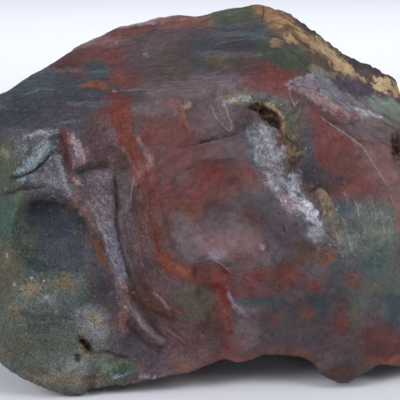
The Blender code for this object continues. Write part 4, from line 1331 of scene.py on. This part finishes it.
# Clouds a millimetre across, grit a third of that, dust finer still, and crystals that catch the light. Sizes
# are given as how many fit in a metre, and slopes in degrees.
CLOUD, GRIT, DUST, VEIN = 850, 2300, 4200, 260
CRYSTAL, CRYSTAL_FACE, FLECK, DARK_FLECK = 2600, 1300, 2000, 1100
FIBRE, SCRATCH = 1700, 1900
RISING, FALLING, STEEP, ALONG_TOP = 42, -38, -78, 4
cloud = speckle(CLOUD)
grit = speckle(GRIT, 3.0, 0.6) - 0.5
dust = speckle(DUST, 3.0, 0.7)
vein = wires.math("ABSOLUTE", speckle(VEIN, 5.0, 0.6) - 0.5).between(0.0, 0.012)
crystal = cells(CRYSTAL, "Distance")
crystal_tone = part_of(cells(CRYSTAL, "Color"), "Red")
crystal_sparkle = part_of(cells(CRYSTAL_FACE, "Color"), "Blue")
fleck = part_of(cells(FLECK, "Color"), "Green").between(0.95, 0.98)
dark_fleck = part_of(cells(DARK_FLECK, "Color"), "Blue").between(0.94, 0.98)
fibre = part_of(fibres, "Green") * streaks(FIBRE, RISING)
fibre = fibre + part_of(fibres, "Blue") * streaks(FIBRE, FALLING)
fibre = fibre + steep * streaks(FIBRE, STEEP)
fibre = fibre + scraped * streaks(SCRATCH, ALONG_TOP)

# The hidden sides carry the same stains in zones with ragged rims, green towards the ends of the stone
def zone(scale):
    return (speckle(scale, 7.0, 0.62) - 0.5) * 3


def stained(under, name, share):
    return under.toward((*paint_colour(name), 1), share)


def zoned(under, zones, within=1):
    """Each zone: its stain, the noise that it follows, between which values its rim lies, and its share."""
    for name, strength, rim, share in zones:
        under = stained(under, name, strength.between(*rim) * (within * share))
    return under


BROAD, MIDDLING, SMALL, BLOTCHES, CRUMBS = 30, 56, 115, 230, 420
broad, middling, small, blotches = zone(BROAD), zone(MIDDLING), zone(SMALL), zone(BLOTCHES)
across = wires.node("SeparateXYZ", {}, {"Vector": place}, "X")
above = wires.node("SeparateXYZ", {}, {"Vector": place}, "Z")
leftward = (broad * (18 * MM) - across).between(14 * MM, 22 * MM)
rightward = (middling * (20 * MM) + across).between(40 * MM, 47 * MM)
rightward = rightward * (broad * (14 * MM) - above).between(-58 * MM, -48 * MM)
side_green = wires.math("MAXIMUM", leftward, rightward)
hidden = stained(stain_and_painted_light, "mauve", 1 - front)
hidden = zoned(hidden, (
    ("red_mauve", middling, (0.0, 0.1), 1.0),
    ("brick", broad + small * 0.5, (0.1, 0.2), 0.95),
    ("bright_red", small + broad * 0.5, (0.25, 0.36), 0.8),
    ("slate", small * 0.5 - middling, (0.2, 0.3), 0.85),
    ("olive", 0 - small - broad * 0.4, (0.25, 0.35), 0.8),
    ("pale_mauve", blotches + middling * 0.6, (0.35, 0.45), 0.6),
))
hidden = stained(hidden, "green_grey", side_green)
hidden = zoned(hidden, (
    ("sea_green", small, (0.05, 0.16), 0.8),
    ("slate", middling + blotches * 0.4, (0.1, 0.2), 0.9),
    ("moss_shade", 0 - small, (0.15, 0.25), 0.8),
    ("ochre", blotches - small * 0.3, (0.28, 0.38), 0.7),
    ("olive_cream", blotches, (0.42, 0.5), 0.7),
    ("pale_green", 0 - blotches, (0.3, 0.4), 0.6),
), side_green)

# Thin quartz seams run right through the stone, each with the way it faces, how far along that it lies, its
# half width and its filling. Finer dark splits run between them.
SEAMS = (
    ((0.94, 0.10, 0.33), 24 * MM, 0.6 * MM, "grey_quartz"),
    ((0.80, -0.20, -0.57), -42 * MM, 0.4 * MM, "grey_quartz"),
    ((-0.35, 0.30, 0.89), 52 * MM, 0.5 * MM, "pale_pink"),
    ((0.55, 0.75, -0.37), 12 * MM, 0.3 * MM, "quartz"),
    ((0.10, 0.92, 0.38), 30 * MM, 0.4 * MM, "grey_quartz"),
)
SEAM_SHARE, SEAM_CORE = 0.75, 0.4
SPLIT = 27
bend = middling * (3 * MM) + small * (0.9 * MM) + blotches * (0.3 * MM)
filled = (small * 0.6 + blotches + 0.35).between(0.0, 0.3) * SEAM_SHARE
for facing_way, offset, half_width, name in SEAMS:
    off_seam = wires.node("VectorMath", {"operation": "DOT_PRODUCT"}, {0: place, 1: facing_way}, "Value")
    off_seam = wires.math("ABSOLUTE", off_seam - offset + bend)
    seam = 1 - off_seam.between(half_width * SEAM_CORE, half_width)
    hidden = stained(hidden, name, seam * filled)
split = wires.math("ABSOLUTE", speckle(SPLIT, 4.0, 0.5) - 0.5 + grit * 0.008)
hidden = stained(hidden, "dark_brown", (1 - split.between(0.0, 0.004)) * 0.85)

# The weathered rind over the upper right of the back
hidden = stained(hidden, "crust", rind)
hidden = zoned(hidden, (
    ("tan", small + blotches * 0.3, (-0.12, 0.02), 1.0),
    ("gold", blotches, (0.08, 0.2), 0.9),
    ("pale_gold", zone(CRUMBS), (0.25, 0.35), 0.7),
    ("purple_crust", 0 - middling, (0.15, 0.25), 0.8),
), rind)
stain_and_painted_light = hidden.toward(stain_and_painted_light, front)

# The thin lines, broken up a little by the grit
LINE_BREAK = 2.5
crack = 1 - wires.math("ABSOLUTE", part_of(lines, "Red") + grit * LINE_BREAK).between(0.6, 1.5)
crack = crack * part_of(lines, "Green")
# pale threads, and painted highlights along edges and crests
thread_and_highlight = 1 - wires.math("ABSOLUTE", part_of(lines, "Blue") + grit * LINE_BREAK).between(0.5, 1.6)
thread_and_highlight = thread_and_highlight * thread_there * (cloud * 2.4 - 0.4)

tone = 0.55 + cloud * 0.42 + dust * 0.5 + grit * (0.35 + grainy * 2.9)
tone = tone * (0.82 + vein * 0.18) * (1 + fibre * 2.0)
# each crystal lightens or darkens: the grains' own tone, and painted sparkle where faces catch the light
tone = tone * (1 + sugar * ((crystal_tone - 0.5) * 0.55 + (crystal_sparkle - 0.5) * 0.35))
shade = wires.node("CombineColor", {}, {"Red": tone, "Green": tone, "Blue": tone}, "Color")
colour = stain_and_painted_light.toward(shade, 1.0, "MULTIPLY")
PAINTED_GLINT, DARK_GRAIN = (0.34, 0.32, 0.33, 1), (0.02, 0.016, 0.015, 1)
PALE_THREAD_AND_HIGHLIGHT, DARK_CRACK = (0.36, 0.32, 0.32, 1), (0.014, 0.010, 0.008, 1)
# painted glints: pale specks where quartz grains catch the light
colour = colour.toward(PAINTED_GLINT, fleck * (0.03 + grainy * cloud * 0.12 + sugar * 0.3))
colour = colour.toward(DARK_GRAIN, dark_fleck * (0.15 + grainy * 0.2))
colour = colour.toward(PALE_THREAD_AND_HIGHLIGHT, thread_and_highlight * 0.6)
colour = colour.toward(DARK_CRACK, crack * 0.8)
tree.links.new(colour.socket, shader.inputs["Base Color"])

gloss = 0.56 - cloud * 0.16 + dust * 0.14 + sugar * 0.06 + rind * 0.2 + crack * 0.2 - fleck * 0.12
tree.links.new(gloss.socket, shader.inputs["Roughness"])
shader.inputs["Metallic"].default_value = 0
shader.inputs["Specular IOR Level"].default_value = 0.32

# The grain's heights, in millimetres, with chipped stone behind
relief = cloud * 0.14 + dust * 0.09 + vein * 0.06 + grit * (0.05 + grainy * 0.32)
relief = relief + fibre * 0.3 + sugar * (1 - crystal) * crystal_tone * 0.28
relief = relief + rind * speckle(1500, 5.0, 0.7) * 0.4 - crack * 0.3 + thread_and_highlight * 0.08
CHIP, SMALL_CHIP = 130, 330
chip = cells(CHIP, "Distance")
chips = chip * chip * 1.6 + cells(SMALL_CHIP, "Distance") * 0.5
relief = relief + (1 - front) * (speckle(SMALL_CHIP, 6.0, 0.62) * 1.1 + chips)
bump = wires.node("Bump", {}, {"Height": relief, "Distance": MM, "Strength": 1.0}, "Normal")
tree.links.new(bump.socket, shader.inputs["Normal"])

# The finished stone takes exactly the solid's box
low, high = np.array(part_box("jasper"))
points = points_of(form)
points[:, 2] -= points[:, 2].min()
middle_x, middle_y = WORK_MIDDLE[:2]
points[:, :2] -= (middle_x, middle_y)
high_reach, low_reach = points.max(axis=0), points.min(axis=0)
stretch_up = high / high_reach
stretch_down = np.array((low[0] / low_reach[0], low[1] / low_reach[1], 1))
points *= np.where(points > 0, stretch_up, stretch_down)
move_points(form, points)
form.name = "jasper_stone"
form.shade_smooth()
form.materials.append(finish)
piece = bpy.data.objects.new("jasper_stone", form)
bpy.context.scene.collection.objects.link(piece)
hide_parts("jasper")
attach(piece, "root")

# The table that the stone stands on
# A wide sheet of matt pale blue paper, laid flat and far past the edges of the picture.
SHEET_HALF = 9.0
table_mesh = bpy.data.meshes.new("table")
corners = [(-SHEET_HALF, -SHEET_HALF, 0), (SHEET_HALF, -SHEET_HALF, 0), (SHEET_HALF, SHEET_HALF, 0)]
table_mesh.from_pydata([*corners, (-SHEET_HALF, SHEET_HALF, 0)], [], [(0, 1, 2, 3)])
paper = bpy.data.materials.new("table_paper")
paper.use_nodes = True
paper_shader = paper.node_tree.nodes["Principled BSDF"]
paper_shader.inputs["Base Color"].default_value = (0.66, 0.675, 0.73, 1)
paper_shader.inputs["Roughness"].default_value = 0.9
table_mesh.materials.append(paper)
table = bpy.data.objects.new("table", table_mesh)
bpy.context.scene.collection.objects.link(table)

# Light and camera
# A large soft lamp high on the left, weaker ones on the right, behind and low in front, one for the far paper
# alone, a surround brightest overhead and along the horizon, and a long lens a little above the stone.
# Each lamp: its place, what it aims at, its size, its power and its tint
LAMPS = {
    "left": ((-0.82, -0.80, 0.66), (0, 0, 0.045), (0.6, 0.6), 13.2, (1.0, 0.99, 1.0)),
    "right": ((0.76, -0.72, 0.80), (0, 0, 0.045), (0.6, 0.6), 7.6, (1.0, 0.98, 0.96)),
    "behind": ((0.35, 1.30, 0.95), (0, 0, 0.045), (1.4, 0.9), 3.0, (0.96, 0.98, 1.0)),
    "far_paper": ((0, 0.55, 1.1), (0, 2.6, 0), (2.4, 0.5), 20.0, (1.0, 1.0, 1.0)),
    "low_front": ((0.1, -1.30, 0.10), (0, 0, 0.02), (1.2, 0.15), 3.2, (1.0, 1.0, 1.0)),
}
# How bright the surround is below and overhead, how much brighter along the horizon, and how fast that fades
SKY_LOW, SKY_HIGH = 0.21, 0.60
HORIZON, HORIZON_FALL = 0.5, -70
for name, (spot, aim, size, power, tint) in LAMPS.items():
    lamp = bpy.data.lights.new(name, "AREA")
    lamp.shape = "RECTANGLE"
    lamp.size, lamp.size_y = size
    lamp.energy = power
    lamp.color = tint
    holder = bpy.data.objects.new(name, lamp)
    holder.location = spot
    holder.rotation_mode = "QUATERNION"
    holder.rotation_quaternion = (Vector(aim) - Vector(spot)).to_track_quat("-Z", "Y")
    bpy.context.scene.collection.objects.link(holder)
sky = bpy.data.worlds.new("pale_surround")
sky.use_nodes = True
sky_wires = Wire(sky.node_tree)
upward = sky_wires.node("TexCoord", {}, {}, "Generated")
upward = sky_wires.node("SeparateXYZ", {}, {"Vector": upward}, "Z")
glow = SKY_LOW + (SKY_HIGH - SKY_LOW) * upward.between(-0.1, 0.9)
glow = glow + HORIZON * sky_wires.math("EXPONENT", upward * upward * HORIZON_FALL)
background = sky.node_tree.nodes["Background"]
background.inputs["Color"].default_value = (0.92, 0.95, 1.0, 1)
sky.node_tree.links.new(glow.socket, background.inputs["Strength"])
bpy.context.scene.world = sky
bpy.context.scene.view_settings.view_transform = "Standard"

SENSOR = 36
camera_data = bpy.data.cameras.new("camera")
camera_data.sensor_width = SENSOR
camera_data.lens = SENSOR * VIEW_DISTANCE / (2 * PICTURE_MIDDLE * PIXEL)
camera_data.clip_start = 10 * MM
camera = bpy.data.objects.new("camera", camera_data)
camera.location = VIEW_MIDDLE - WORK_MIDDLE + TOWARDS_EYE * VIEW_DISTANCE
camera.rotation_mode = "QUATERNION"
camera.rotation_quaternion = (-Vector(TOWARDS_EYE)).to_track_quat("-Z", "Y")
bpy.context.scene.collection.objects.link(camera)
bpy.context.scene.camera = camera
